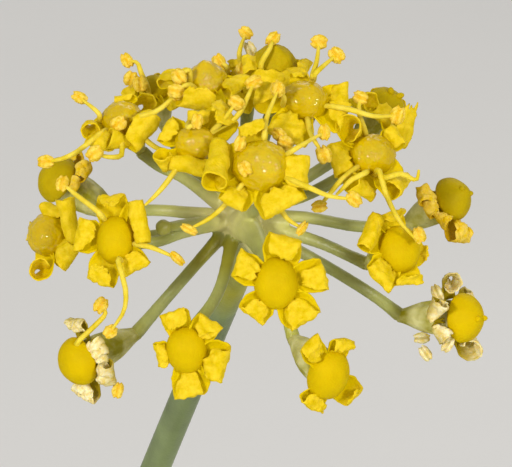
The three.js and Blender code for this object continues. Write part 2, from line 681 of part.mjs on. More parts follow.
// The rachis edge point on one hand at place t of its curve.
function rachisPoint(frond, t, hand, step, shift = 0) {
  const along = frond.curve.getTangent(t);
  const side = UP.clone().cross(along).normalize();
  const half = frond.radius + (RACHIS_END_RADIUS - frond.radius) * t;
  return {
    flat: [flatNode(step)[0] + shift, flatNode(step)[1] + hand * half],
    at: frond.curve.getPoint(t).addScaledVector(side, hand * half),
    half,
    normal: along.clone().cross(side),
  };
}

function frondBlade(frond) {
  const random = randomFrom(frond.seed);
  const blade = { lines: [] };
  const sides = { 1: [], "-1": [] };
  for (const hand of [-1, 1]) {
    for (let k = 0; k < STALK_STEPS; k++) {
      sides[hand].push(rachisPoint(frond, (k / STALK_STEPS) * RACHIS_START, hand, k));
    }
  }
  for (let i = 0; i < frond.pairs; i++) {
    for (const hand of [-1, 1]) {
      const t = RACHIS_START + ((RACHIS_END - RACHIS_START) * i) / frond.pairs;
      const half = RIB / frond.length;
      const pinna = pinnaPoints(frond, i, hand, random, blade);
      const before = rachisPoint(frond, t - half, hand, STALK_STEPS + i, -RIB);
      const after = rachisPoint(frond, t + 3 * half, hand, STALK_STEPS + i, RIB);
      sides[hand].push(before, ...(hand > 0 ? pinna.reverse() : pinna), after);
    }
  }
  for (const hand of [-1, 1]) {
    sides[hand].push(rachisPoint(frond, RACHIS_END, hand, STALK_STEPS + frond.pairs));
  }
  const end = pinnaPoints(frond, frond.pairs, 0, random, blade);
  blade.points = [...sides[-1], ...end, ...sides[1].reverse()];
  return blade;
}

function bladeSolid(points) {
  const shape = new THREE.Shape(points.map(({ flat }) => new THREE.Vector2(...flat)));
  const slab = new THREE.ExtrudeGeometry(shape, { depth: 1, bevelEnabled: false, steps: 1 });
  const places = slab.getAttribute("position");
  for (let i = 0; i < places.count; i++) {
    const [x, y] = [places.getX(i), places.getY(i)];
    const isHere = ({ flat }) => Math.hypot(flat[0] - x, flat[1] - y) < 1e-3;
    const { at, half, normal } = points.find(isHere);
    const place = at.clone().addScaledVector(normal, places.getZ(i) > 0.5 ? half : -half);
    places.setXYZ(i, place.x, place.y, place.z);
  }
  return solidOf(slab);
}

function frondSolid(frond) {
  const blade = frondBlade(frond);
  for (const line of blade.lines) taken.push({ line: new THREE.Line3(...line), radius: RIB });
  take(frond.curve, frond.radius, 6);
  return bladeSolid(blade.points);
}

function arch(foot, azimuth, length, rise, droop) {
  const by = foot.clone().addScaledVector(heading(azimuth, rise), length * 0.5);
  return bend(foot, by, by.clone().addScaledVector(heading(azimuth, droop), length * 0.5));
}

// The leaf sheath as a ring round the stem from the origin up.
function sheathShape(bore) {
  const wall = bore + SHEATH_WALL;
  const profile = [
    new THREE.Vector2(bore, 0),
    new THREE.Vector2(wall, 0),
    new THREE.Vector2(wall + SHEATH_BULGE, 0.5 * SHEATH_HEIGHT),
    new THREE.Vector2(bore + SHEATH_MOUTH_WALL, SHEATH_HEIGHT),
    new THREE.Vector2(bore, SHEATH_HEIGHT),
    new THREE.Vector2(bore, 0),
  ];
  return new THREE.LatheGeometry(profile, SHEATH_SIDES).rotateX(Math.PI / 2);
}

function stemFrond(plan, i) {
  const t = stemAt(plan.node);
  const foot = stemCurve.getPoint(t);
  const along = stemCurve.getPoint(t + 0.06).sub(foot).normalize();
  const bore = stemRadius(t) + SHEATH_FIT;
  const sheath = sheathShape(bore);
  sheath.applyQuaternion(new THREE.Quaternion().setFromUnitVectors(UP, along));
  sheath.translate(foot.x, foot.y, foot.z);
  const start = foot.clone().addScaledVector(along, LEAF_ABOVE_FOOT);
  start.addScaledVector(heading(plan.azimuth, 0), bore + SHEATH_WALL);
  const frond = { ...plan, seed: 101 + 17 * i, radius: STEM_FROND_RADIUS };
  frond.curve = arch(start, plan.azimuth, plan.length, plan.rise, plan.droop);
  const below = foot.clone().addScaledVector(along, -SHEATH_CORE_SPARE);
  const above = foot.clone().addScaledVector(along, SHEATH_HEIGHT + SHEATH_CORE_SPARE);
  const core = rod(straight(below, above), SHEATH_CORE * bore, SHEATH_CORE * bore, SHEATH_SIDES, 1);
  const solid = join([solidOf(sheath), frondSolid(frond)]).subtract(core);
  return meshOf(`stem_frond_${i + 1}`, solid, frondGreen);
}

function basalPlan(plan, i) {
  const [x, y] = STEM_NODES[0];
  const foot = heading(plan.azimuth, 0).multiplyScalar(BASAL_CIRCLE).add(vector([x, y, BASAL_FOOT_Z]));
  const curve = arch(foot, plan.azimuth, plan.length, plan.rise, plan.droop);
  const look = { pairs: BASAL_PAIRS, threads: BASAL_THREADS, radius: BASAL_STALK_RADIUS };
  return { ...plan, ...look, seed: 301 + 23 * i, curve };
}

function umbellets(name, seed, umbel, rays) {
  return rays.map((ray, i) => umbellet(`${name}_${i + 1}`, seed + i, rayCurve(umbel, ray)));
}

const plant = new THREE.Group();
const basal = BASAL_FRONDS.map(basalPlan);
plant.add(pot(), soil(stemCurve, basal), stem(), frontUmbellet());
plant.add(...umbellets("top_umbellet", 11, topUmbel, TOP_RAYS));
plant.add(...umbellets("side_umbellet", 41, sideUmbel, SIDE_RAYS));
plant.add(...STEM_FRONDS.map(stemFrond));
plant.add(...basal.map((frond, i) => meshOf(`basal_frond_${i + 1}`, frondSolid(frond), frondGreen)));

export default plant;
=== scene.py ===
import math
import random

import bmesh
import bpy
import numpy as np
from mathutils import Matrix, Vector, noise


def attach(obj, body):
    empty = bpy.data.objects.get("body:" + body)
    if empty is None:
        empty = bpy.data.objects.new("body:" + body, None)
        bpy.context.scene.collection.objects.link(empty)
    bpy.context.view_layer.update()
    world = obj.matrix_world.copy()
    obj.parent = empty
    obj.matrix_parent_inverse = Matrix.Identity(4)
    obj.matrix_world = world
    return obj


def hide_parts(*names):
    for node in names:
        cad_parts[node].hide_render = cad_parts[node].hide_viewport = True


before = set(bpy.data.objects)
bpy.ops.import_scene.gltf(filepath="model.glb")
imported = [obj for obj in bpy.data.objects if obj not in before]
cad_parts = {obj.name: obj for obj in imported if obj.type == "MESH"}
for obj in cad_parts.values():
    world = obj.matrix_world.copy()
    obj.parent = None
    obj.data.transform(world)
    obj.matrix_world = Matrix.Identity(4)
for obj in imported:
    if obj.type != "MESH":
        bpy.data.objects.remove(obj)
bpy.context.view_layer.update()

# Camera: it looks at one umbellet of the flowering side branch from 18 cm away, a little from above.
# The frame is 20.5 mm wide at the hub of that umbellet, and the hub lies left of and above the middle.
MM = 0.001
FRONT_HUB = Vector((35.5, -46.7, 354.3))
VIEW_DOWN = math.radians(20)
VIEW_DISTANCE = 180
FRAME_WIDTH = 20.48
SENSOR_WIDTH = 36
HUB_RIGHT_OF_MIDDLE = -0.76
HUB_ABOVE_MIDDLE = 0.62

view_turn = Matrix.Rotation(math.radians(90) - VIEW_DOWN, 3, "X")
view_right, view_up, view_toward = (view_turn.col[k].copy() for k in range(3))
middle = FRONT_HUB - view_right * HUB_RIGHT_OF_MIDDLE - view_up * HUB_ABOVE_MIDDLE
camera = bpy.data.objects.new("camera", bpy.data.cameras.new("camera"))
bpy.context.scene.collection.objects.link(camera)
camera.location = (middle + view_toward * VIEW_DISTANCE) * MM
camera.rotation_euler = (math.radians(90) - VIEW_DOWN, 0, 0)
camera.data.sensor_width = SENSOR_WIDTH
camera.data.lens = SENSOR_WIDTH * VIEW_DISTANCE / FRAME_WIDTH
camera.data.clip_start = 0.01
camera.data.clip_end = 100
bpy.context.scene.camera = camera
bpy.context.scene.view_settings.view_transform = "Standard"


# Pot: a thrown flowerpot of terracotta, with a thick rim band and three drain holes in its floor.
# It is turned from one profile, with the edges rounded, and the holes are cut through the floor.
POT_HEIGHT = 120
POT_FOOT_RADIUS = 47
POT_NECK_RADIUS = 64
POT_RIM_RADIUS = 70
POT_RIM_HEIGHT = 24
POT_MOUTH_RADIUS = 64.5
POT_FLOOR_RADIUS = 42
POT_FLOOR = 7
DRAIN_HOLES = 3
DRAIN_HOLE_RADIUS = 5
DRAIN_HOLE_CIRCLE = 26
POT_TURN_STEPS = 112


def material_of(name, **sockets):
    """A material whose shader has the given values."""
    material = bpy.data.materials.new(name)
    material.use_nodes = True
    shader = material.node_tree.nodes["Principled BSDF"]
    for socket, value in sockets.items():
        shader.inputs[socket.replace("_", " ")].default_value = value
    return material


def add_noise(material, size, detail):
    """A noise all over the piece, with features of about a given size in mm."""
    nodes, links = material.node_tree.nodes, material.node_tree.links
    place = nodes.get("Texture Coordinate") or nodes.new("ShaderNodeTexCoord")
    texture = nodes.new("ShaderNodeTexNoise")
    texture.inputs["Scale"].default_value = 1 / (size * MM)
    texture.inputs["Detail"].default_value = detail
    links.new(place.outputs["Object"], texture.inputs["Vector"])
    return texture


def add_ramp(material, value, *stops):
    """The colours that a value runs through, from two or more stops of (value, colour)."""
    ramp = material.node_tree.nodes.new("ShaderNodeValToRGB")
    elements = ramp.color_ramp.elements
    for _ in stops[2:]:
        elements.new(0.5)
    for element, (position, colour) in zip(elements, stops):
        element.position, element.color = position, (*colour, 1)
    material.node_tree.links.new(value, ramp.inputs["Fac"])
    return ramp.outputs["Color"]


def add_bump(material, texture, depth, socket="Normal"):
    """Raises a skin, or the coat over it, by a texture, up to a depth in mm."""
    nodes, links = material.node_tree.nodes, material.node_tree.links
    bump = nodes.new("ShaderNodeBump")
    bump.inputs["Distance"].default_value = depth * MM
    links.new(texture.outputs["Fac"], bump.inputs["Height"])
    links.new(bump.outputs["Normal"], nodes["Principled BSDF"].inputs[socket])


def surface(name, dark, light, patch, roughness, grain, depth, **sockets):
    """A surface whose colour drifts from dark to light in patches, with a fine grain. Lengths are in mm."""
    material = material_of(name, Roughness=roughness, **sockets)
    nodes, links = material.node_tree.nodes, material.node_tree.links
    colour = add_ramp(material, add_noise(material, patch, 4).outputs["Fac"], (0.35, dark), (0.65, light))
    links.new(colour, nodes["Principled BSDF"].inputs["Base Color"])
    add_bump(material, add_noise(material, grain, 3), depth)
    return material


def blend(material, factor, colour, socket):
    """Blends a colour into a surface's patches: it shows where the factor is 0 from socket A, or 1 from B."""
    nodes, links = material.node_tree.nodes, material.node_tree.links
    mix = nodes.new("ShaderNodeMix")
    mix.data_type = "RGBA"
    mix.inputs[socket].default_value = (*colour, 1)
    links.new(factor, mix.inputs["Factor"])
    links.new(nodes["Color Ramp"].outputs["Color"], mix.inputs["A" if socket == "B" else "B"])
    links.new(mix.outputs["Result"], nodes["Principled BSDF"].inputs["Base Color"])


def place_mesh(name, bm):
    """Puts a bmesh into the scene as an object, and frees it."""
    mesh = bpy.data.meshes.new(name)
    bm.to_mesh(mesh)
    bm.free()
    thing = bpy.data.objects.new(name, mesh)
    bpy.context.scene.collection.objects.link(thing)
    return thing


def worked_out(thing):
    """The mesh that an object's modifiers or its bevel make."""
    bpy.context.view_layer.update()
    return bpy.data.meshes.new_from_object(thing.evaluated_get(bpy.context.evaluated_depsgraph_get()))


def add_piece(name, bm, materials, slot, *nodes):
    """Puts a finished bmesh, in mm, into the scene as the piece that stands for the part's nodes."""
    bmesh.ops.recalc_face_normals(bm, faces=bm.faces)
    bmesh.ops.scale(bm, vec=(MM, MM, MM), verts=bm.verts)
    piece = place_mesh(name, bm)
    piece.data.shade_smooth()
    for material in materials:
        piece.data.materials.append(material)
    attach(piece, "root")
    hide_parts(*nodes)
    return piece


def turn_profile(bm, profile, steps):
    """Turns a line of (radius, height) points round the Z axis, and returns the points of its skin."""
    old = set(bm.verts)
    verts = [bmesh.ops.create_vert(bm, co=(radius, 0, height))["vert"][0] for radius, height in profile]
    edges = [bm.edges.new(pair) for pair in zip(verts, verts[1:])]
    bmesh.ops.spin(bm, geom=verts + edges, cent=(0, 0, 0), axis=(0, 0, 1), angle=2 * math.pi, steps=steps,
                   use_merge=True)
    return [vert for vert in bm.verts if vert not in old]


def terracotta():
    """Fired clay, with pale patches of lime here and there."""
    clay = surface("terracotta", (0.34, 0.115, 0.045), (0.50, 0.20, 0.095), 22, 0.88, 1.1, 0.25)
    bloom = add_noise(clay, 30, 9)
    bloom.inputs["Roughness"].default_value = 0.72
    lime = add_ramp(clay, bloom.outputs["Fac"], (0.56, (0, 0, 0)), (0.74, (0.55, 0.55, 0.55)))
    blend(clay, lime, (0.66, 0.56, 0.46), "B")
    return clay


band = POT_HEIGHT - POT_RIM_HEIGHT
pot = bmesh.new()
turn_profile(pot, [
    (0, 0), (15, 0), (32, 0), (POT_FOOT_RADIUS - 2.4, 0), (POT_FOOT_RADIUS - 0.7, 0.6),
    (POT_FOOT_RADIUS + 0.1, 2), (52, 29), (58, 62),
    (POT_NECK_RADIUS - 0.5, band - 2.2), (POT_NECK_RADIUS + 0.5, band - 0.5),
    (POT_RIM_RADIUS - 2.6, band), (POT_RIM_RADIUS - 1.2, band + 0.9), (POT_RIM_RADIUS - 0.7, band + 2.6),
    (POT_RIM_RADIUS - 0.3, POT_HEIGHT - 12), (POT_RIM_RADIUS, POT_HEIGHT - 3.4),
    (POT_RIM_RADIUS - 0.7, POT_HEIGHT - 1.2), (POT_RIM_RADIUS - 2.2, POT_HEIGHT),
    (POT_MOUTH_RADIUS + 1.4, POT_HEIGHT), (POT_MOUTH_RADIUS + 0.2, POT_HEIGHT - 1.3),
    (62.5, 109), (57, 82), (50, 48), (POT_FLOOR_RADIUS + 1, 12), (POT_FLOOR_RADIUS - 2, POT_FLOOR),
    (32, POT_FLOOR), (15, POT_FLOOR), (0, POT_FLOOR),
], POT_TURN_STEPS)
bmesh.ops.remove_doubles(pot, verts=pot.verts, dist=1e-4)
# Its wall sways a little and shows faint rings, as thrown clay does.
for vert in pot.verts:
    sway = 0.35 * noise.noise(vert.co / 38) + 0.1 * noise.noise(Vector((0, 0, vert.co.z / 2.6)))
    out = Vector((vert.co.x, vert.co.y, 0))
    if out.length > POT_FOOT_RADIUS:
        vert.co += out.normalized() * (sway - 0.3)
pot_piece = add_piece("terracotta_pot", pot, [terracotta()], "terracotta", "pot")
drills = []
for i in range(DRAIN_HOLES):
    drill = bmesh.new()
    turn = Matrix.Rotation(i * 2 * math.pi / DRAIN_HOLES, 4, "Z")
    bmesh.ops.create_cone(drill, cap_ends=True, segments=40, radius1=DRAIN_HOLE_RADIUS * MM,
                          radius2=DRAIN_HOLE_RADIUS * MM, depth=4 * POT_FLOOR * MM,
                          matrix=turn @ Matrix.Translation((DRAIN_HOLE_CIRCLE * MM, 0, 0)))
    drills.append(place_mesh("drill", drill))
    cut = pot_piece.modifiers.new("drain hole", "BOOLEAN")
    cut.operation, cut.solver, cut.object = "DIFFERENCE", "EXACT", drills[-1]
drilled = worked_out(pot_piece)
pot_piece.modifiers.clear()
pot_piece.data = drilled
drilled.name = "terracotta_pot"
for drill in drills:
    bpy.data.objects.remove(drill)


# Potting soil: dark, moist and crumbly, with bark chips and white perlite, filled to a finger below the rim.
# The body is turned, its top is roughened, and crumbs of three kinds lie on it.
SOIL_TOP = 105
SOIL_CROWN = 3
SOIL_GAP = 0.35
SOIL_TURN_STEPS = 150
CRUMBS = 900
# Soil, bark and perlite crumbs: how many in a hundred, their size, and their thickness for that size.
CRUMB_KINDS = ((72, 1, 0.7), (20, 1.3, 0.3), (8, 1, 0.8))


def mouth_radius(z):
    """The inside radius of the pot at a height."""
    share = (z - POT_FLOOR) / (POT_HEIGHT - POT_FLOOR)
    return POT_FLOOR_RADIUS + (POT_MOUTH_RADIUS - POT_FLOOR_RADIUS) * share


def paint(verts, material):
    """Gives the faces round some points one of their piece's materials."""
    for face in {face for vert in verts for face in vert.link_faces}:
        face.material_index = material


def soil_height(x, y):
    """The height of the soil's surface, with lumps of a few sizes."""
    out = math.hypot(x, y) / mouth_radius(SOIL_TOP)
    lumps = 1.1 * noise.noise(Vector((x, y, 0)) / 11) + 0.8 * noise.noise(Vector((x, y, 3)) / 4)
    lumps += 0.35 * noise.noise(Vector((x, y, 7)) / 1.6)
    return SOIL_TOP + SOIL_CROWN * (1 - out * out) - 0.6 + lumps


soil_dark = surface("soil", (0.012, 0.007, 0.004), (0.05, 0.030, 0.017), 3, 0.95, 0.5, 0.6)
bark = surface("bark_chips", (0.045, 0.022, 0.010), (0.11, 0.058, 0.028), 2, 0.9, 0.4, 0.2)
perlite = surface("perlite", (0.62, 0.60, 0.55), (0.80, 0.79, 0.75), 1, 0.85, 0.3, 0.2)
soil = bmesh.new()
low = POT_FLOOR + SOIL_GAP
wall = mouth_radius(SOIL_TOP) - SOIL_GAP - 1
soil_profile = [(wall * k / 44, SOIL_TOP) for k in range(45)]
soil_profile += [(mouth_radius(60) - 1.6, 60), (POT_FLOOR_RADIUS - 3, low), (20, low), (0, low)]
turn_profile(soil, soil_profile, SOIL_TURN_STEPS)
bmesh.ops.remove_doubles(soil, verts=soil.verts, dist=1e-4)
for vert in soil.verts:
    if vert.co.z > SOIL_TOP - 1:
        vert.co.z = soil_height(vert.co.x, vert.co.y)
lay = random.Random(7)
for i in range(CRUMBS):
    kind = lay.choices((0, 1, 2), [share for share, _, _ in CRUMB_KINDS])[0]
    _, bigger, thick = CRUMB_KINDS[kind]
    around, out = lay.uniform(0, 2 * math.pi), (wall - 2) * math.sqrt(lay.random())
    x, y = out * math.cos(around), out * math.sin(around)
    size = lay.uniform(0.5, 1.5) * bigger
    flat = Matrix.Diagonal((size, size * lay.uniform(0.5, 0.9), size * thick, 1))
    turn = Matrix.Rotation(lay.uniform(0, math.pi), 4, "Z") @ Matrix.Rotation(lay.uniform(-0.5, 0.5), 4, "X")
    place = Matrix.Translation((x, y, soil_height(x, y) + 0.25 * size)) @ turn @ flat
    crumb = bmesh.ops.create_icosphere(soil, subdivisions=1, radius=1, matrix=place)["verts"]
    for vert in crumb:
        vert.co += Vector([lay.uniform(-0.16, 0.16) * size for _ in range(3)])
    paint(crumb, kind)
add_piece("potting_soil_fill", soil, [soil_dark, bark, perlite], "potting_soil", "soil")


# Stem: one grown piece, solid and finely ribbed, blue-green under a waxy bloom, with a side branch.
# Each umbel opens from a knob at the end of its stem, as a whorl of thinner ribbed stalks called rays.
STEM_BASE_RADIUS = 3.7
STEM_TOP_RADIUS = 1.9
BRANCH_BASE_RADIUS = 1.9
BRANCH_TOP_RADIUS = 1.2
RAY_RADIUS = 0.62
RIB_DEPTH = 0.035
UMBEL_KNOB = 2.6
HUB_RADIUS = 1.1
UMBELLET_REACH = 6.9
FRONT_UMBELLET_REACH = 13
UP = Vector((0, 0, 1))
# The stem goes through these points, and the branch leaves it a little past the sixth.
STEM_NODES = [
    (-4, 3, 72), (-5, 3, 106), (-4, 2, 140), (-7, 5, 172), (-5, 5, 208),
    (-10, 8, 246), (-12, 8, 288), (-18, 12, 328), (-22, 14, 374),
]
BRANCH_FROM_NODE = 5.55
BRANCH_ROUTE = [(-3, 1, 281), (9, -9, 298), (26, -22, 318)]
# A ray has its direction round the umbel and its slope, in degrees, and its length.
TOP_RAYS = [
    (40, 84, 36), (150, 55, 37), (275, 52, 38), (30, 50, 38), (95, 30, 40), (200, 24, 42), (325, 26, 40),
]
SIDE_RAYS = [(186, 32, 35), (130, 38, 33), (12, 14, 37), (234, 22, 33)]


def flowing(points):
    """The smooth curve through points, evenly paced from 0 to 1 over them (a centripetal spline)."""
    def at(t):
        way = (len(points) - 1) * t
        i = min(int(way), len(points) - 2)
        w = way - i
        b, c = points[i], points[i + 1]
        a = points[i - 1] if i > 0 else 2 * b - c
        d = points[i + 2] if i + 2 < len(points) else 2 * c - b
        before, between, after = ((q - p).length ** 0.5 for p, q in ((a, b), (b, c), (c, d)))
        leave = ((b - a) / before - (c - a) / (before + between) + (c - b) / between) * between
        meet = ((c - b) / between - (d - b) / (between + after) + (d - c) / after) * between
        squared, cubed = 3 * (c - b) - 2 * leave - meet, 2 * (b - c) + leave + meet
        return b + leave * w + squared * w * w + cubed * w ** 3
    return at


def bend(start, by, end):
    """A curve from start to end that is drawn towards a point between them."""
    return lambda t: start * (1 - t) ** 2 + by * 2 * t * (1 - t) + end * t * t


def way_of(curve, t):
    """The direction of a curve at t."""
    return (curve(min(t + 1e-4, 1)) - curve(max(t - 1e-4, 0))).normalized()


def heading(azimuth, elevation):
    """The direction at an azimuth and an elevation in degrees."""
    a, e = math.radians(azimuth), math.radians(elevation)
    return Vector((math.cos(e) * math.cos(a), math.cos(e) * math.sin(a), math.sin(e)))


def turn_to(way):
    """The turn that brings what points up to a direction."""
    return UP.rotation_difference(way).to_matrix().to_4x4()


def add_rods(bm, lines, roundness, material=0):
    """Adds round rods along lines of (point, radius), closed at both ends. A roundness of 0 gives 4 sides."""
    curve = bpy.data.curves.new("rods", "CURVE")
    curve.dimensions, curve.use_fill_caps = "3D", True
    curve.bevel_depth, curve.bevel_resolution = 1, roundness
    for line in lines:
        spline = curve.splines.new("POLY")
        spline.points.add(len(line) - 1)
        spline.points.foreach_set("co", [value for point, _ in line for value in (*point, 1)])
        spline.points.foreach_set("radius", [radius for _, radius in line])
    holder = bpy.data.objects.new("rods", curve)
    bpy.context.scene.collection.objects.link(holder)
    mesh = worked_out(holder)
    bpy.data.objects.remove(holder)
    bpy.data.curves.remove(curve)
    old = len(bm.faces)
    bm.from_mesh(mesh)
    bpy.data.meshes.remove(mesh)
    bm.faces.ensure_lookup_table()
    for face in bm.faces[old:]:
        face.material_index = material


def ribbed_rod(bm, curve, start_radius, end_radius, ribs, steps):
    """A rod with shallow ribs down its length: a ring of points for each step, bridged to the one before."""
    rings = []
    for step in range(steps + 1):
        t = step / steps
        radius = start_radius + (end_radius - start_radius) * t
        ring = bmesh.ops.create_circle(bm, cap_ends=step in (0, steps), segments=4 * ribs,
                                       radius=radius)["verts"]
        for k, vert in enumerate(ring):
            vert.co *= 1 + RIB_DEPTH * math.cos(k * math.pi / 2)
        place = Matrix.Translation(curve(t)) @ turn_to(way_of(curve, t))
        bmesh.ops.transform(bm, matrix=place, verts=ring)
        rings.append({edge for vert in ring for edge in vert.link_edges if edge.other_vert(vert) in ring})
    for before, after in zip(rings, rings[1:]):
        bmesh.ops.bridge_loops(bm, edges=list(before | after))


def ray_curve(base, ray):
    """A ray's course from its umbel, which sags a little as it leaves."""
    azimuth, elevation, length = ray
    along = heading(azimuth, elevation)
    by = base + along * (length * 0.4)
    by.z -= length * 0.07
    return bend(base, by, base + along * length)


def stem_material():
    """Blue-green, with paler streaks along the stem."""
    skin = surface("stem_skin", (0.15, 0.235, 0.10), (0.23, 0.33, 0.165), 9, 0.5, 0.5, 0.05,
                   Subsurface_Weight=0.08, Subsurface_Radius=(0.0006, 0.0008, 0.0003))
    nodes, links = skin.node_tree.nodes, skin.node_tree.links
    streaks = add_noise(skin, 1.6, 3)
    stretch = nodes.new("ShaderNodeMapping")
    stretch.inputs["Scale"].default_value = (2.2, 2.2, 0.06)
    links.new(nodes["Texture Coordinate"].outputs["Object"], stretch.inputs["Vector"])
    links.new(stretch.outputs["Vector"], streaks.inputs["Vector"])
    sharp = add_ramp(skin, streaks.outputs["Fac"], (0.45, (0, 0, 0)), (0.62, (1, 1, 1)))
    blend(skin, sharp, (0.32, 0.43, 0.25), "B")
    return skin


stem_curve = flowing([Vector(point) for point in STEM_NODES])
top_umbel, side_umbel = Vector(STEM_NODES[-1]), Vector(BRANCH_ROUTE[-1])
branch_curve = flowing([stem_curve(BRANCH_FROM_NODE / (len(STEM_NODES) - 1)), *map(Vector, BRANCH_ROUTE)])
stem_skin = stem_material()
stem = bmesh.new()
ribbed_rod(stem, stem_curve, STEM_BASE_RADIUS, STEM_TOP_RADIUS, ribs=18, steps=72)
ribbed_rod(stem, branch_curve, BRANCH_BASE_RADIUS, BRANCH_TOP_RADIUS, ribs=12, steps=24)
for knob in (top_umbel, side_umbel):
    ball = bmesh.ops.create_icosphere(stem, subdivisions=4, radius=UMBEL_KNOB)["verts"]
    for vert in ball:
        vert.co *= 1 + 0.05 * noise.noise(vert.co * 0.9)
        vert.co.z *= 0.8 if vert.co.z > 0 else 1.15
    bmesh.ops.translate(stem, vec=knob, verts=ball)
for base, rays in ((top_umbel, TOP_RAYS), (side_umbel, SIDE_RAYS)):
    for ray in rays:
        curve = ray_curve(base, ray)
        reach = 1 - (HUB_RADIUS * 0.6) / ray[2]
        ribbed_rod(stem, lambda t: curve(t * reach), RAY_RADIUS * 1.25, RAY_RADIUS, ribs=6, steps=16)
add_piece("fennel_stem", stem, [stem_skin], "stem_green", "stem")


# Leaves: each is divided four or five times into soft green threads, on ribs in pairs along a midrib.
# The basal leaves rise out of the soil round the stem. All their threads are thin rods that taper to a point.
RACHIS_START = 0.36
RACHIS_END = 0.96
RIB = 0.5
THREAD_GAP = 0.5
SAMPLE_STEP = 1.2
BASAL_CIRCLE = 13
BASAL_MIDDLE = (-4, 3)
BASAL_FOOT_Z = 92
BASAL_STALK_RADIUS = 1.6
MIDRIB_TIP_RADIUS = 0.6
RIB_FOOT_RADIUS, RIB_TIP_RADIUS = 0.52, 0.2
THREAD_RADII, THREAD_TIP_RADIUS = (0.2, 0.27, 0.34), 0.13
SIDE_THREADS = (0, 4, 6)
THREADS_OF_A_RIB = 4
# A basal leaf has its direction in degrees, its length, and how steeply it leaves the soil and ends.
BASAL_FRONDS = [
    (28, 205, 76, 32), (92, 190, 74, 26), (160, 215, 77, 30), (250, 200, 74, 24), (300, 175, 70, 12),
]

taken = []


def take(curve, radius, steps):
    """Notes a run of space as taken, so that no thread of a leaf goes through it."""
    points = [curve(i / steps) for i in range(steps + 1)]
    taken.extend((a, b, radius) for a, b in zip(points, points[1:]))


def is_clear(start, end):
    """Whether a thread from start to end stays clear of what is taken."""
    steps = max(2, math.ceil((end - start).length / SAMPLE_STEP))
    samples = np.linspace(start, end, steps + 1)[:, None]
    a, b = np.array([t[0] for t in taken]), np.array([t[1] for t in taken])
    run = b - a
    share = np.clip(((samples - a) * run).sum(2) / np.maximum((run * run).sum(1), 1e-12), 0, 1)
    nearest = np.linalg.norm(a + share[..., None] * run - samples, axis=2)
    return not (nearest < np.array([t[2] for t in taken]) + RIB + THREAD_GAP).any()


def clear_share(start, way, length):
    """How much of a thread's length there is room for."""
    share = 1
    while share > 0.25 and not is_clear(start, start + way * (share * length)):
        share *= 0.85
    return share


def draws(seed):
    """Numbers between 0 and 1 that repeat for the same seed, as the part's source draws them."""
    state = seed
    while True:
        state = (state * 1664525 + 1013904223) % 2 ** 32
        yield state / 2 ** 32


def off(way, beside, normal, slope, hand, lift):
    """The direction of a side thread, at a slope to one hand of the thread it grows from, and lifted."""
    return way * math.cos(slope) + beside * (hand * math.sin(slope)) + normal * lift


def threads_of(frond):
    """The ribs of a leaf, each (foot, way, beside, normal, length, threads).

    A rib's threads are (at, hand, reach, slope, lift), with the hand of the rib that each grows on."""
    random_draws = draws(frond["seed"])
    curve, pairs = frond["curve"], frond["pairs"]
    pinnae = []
    for i, hand in [(i, hand) for i in range(pairs) for hand in (-1, 1)] + [(pairs, 0)]:
        t = RACHIS_START + (RACHIS_END - RACHIS_START) * i / pairs
        foot, along = curve(t), way_of(curve, t)
        side = UP.cross(along).normalized()
        above = along.cross(side)
        way = along * (0.62 if hand else 1) + side * (hand * 0.72)
        way = (way + above * (0.32 * next(random_draws) + (0.06 if hand else -0.1))).normalized()
        full = frond["length"] * (0.35 - 0.17 * i / pairs) * (0.88 + 0.24 * next(random_draws))
        length = full * clear_share(foot, way, full)
        beside = above.cross(way).normalized()
        normal = way.cross(beside)
        threads = []
        for k in range(THREADS_OF_A_RIB):
            side_hand = -1 if k % 2 else 1
            at = length * (0.16 + 0.64 * k / (THREADS_OF_A_RIB - 1))
            reach = (length * 0.52 - 0.3 * at) * (0.85 + 0.35 * next(random_draws))
            slope = 0.7 + 0.35 * next(random_draws)
            lift = 1.1 * next(random_draws) - 0.4
            out = off(way, beside, normal, slope, side_hand, lift)
            reach *= clear_share(foot + way * at, out, reach)
            threads.append((at, side_hand, reach, slope, lift))
        pinnae.append((foot, way, beside, normal, length, threads))
    for foot, way, beside, normal, length, threads in pinnae:
        for at, side_hand, reach, slope, lift in threads:
            start = foot + way * at
            taken.append((start, start + off(way, beside, normal, slope, side_hand, lift) * reach, RIB))
        taken.append((foot, foot + way * length, RIB))
    take(curve, frond["radius"], 6)
    return pinnae


def tapering(start, end, sag, thick, thin, steps=3):
    """A thread from start to end, bowed by sag, that thins out."""
    points = []
    for step in range(steps + 1):
        t = step / steps
        points.append((start.lerp(end, t) + sag * (4 * t * (1 - t)), thick + (thin - thick) * t))
    return points


def spray(lines, grow, start, way, above, length, order):
    """A thread with its own side threads, alternating and shorter towards its tip."""
    side = above.cross(way).normalized()
    normal = way.cross(side)
    sag = (side * grow.uniform(-0.08, 0.08) + normal * grow.uniform(-0.05, 0.12)) * (0.6 * length)
    lines.append(tapering(start, start + way * length, sag, THREAD_RADII[order], THREAD_TIP_RADIUS))
    for k in range(SIDE_THREADS[order]):
        t = (k + 0.8 + grow.uniform(-0.2, 0.2)) / (SIDE_THREADS[order] + 0.6)
        slope = grow.uniform(0.45, 0.8) * (1 if k % 2 else -1)
        out = off(way, side, normal, slope, 1, grow.uniform(-0.35, 0.5)).normalized()
        from_point = start + way * (t * length) + sag * (4 * t * (1 - t))
        spray(lines, grow, from_point, out, normal, length * (0.5 - 0.22 * t), order - 1)


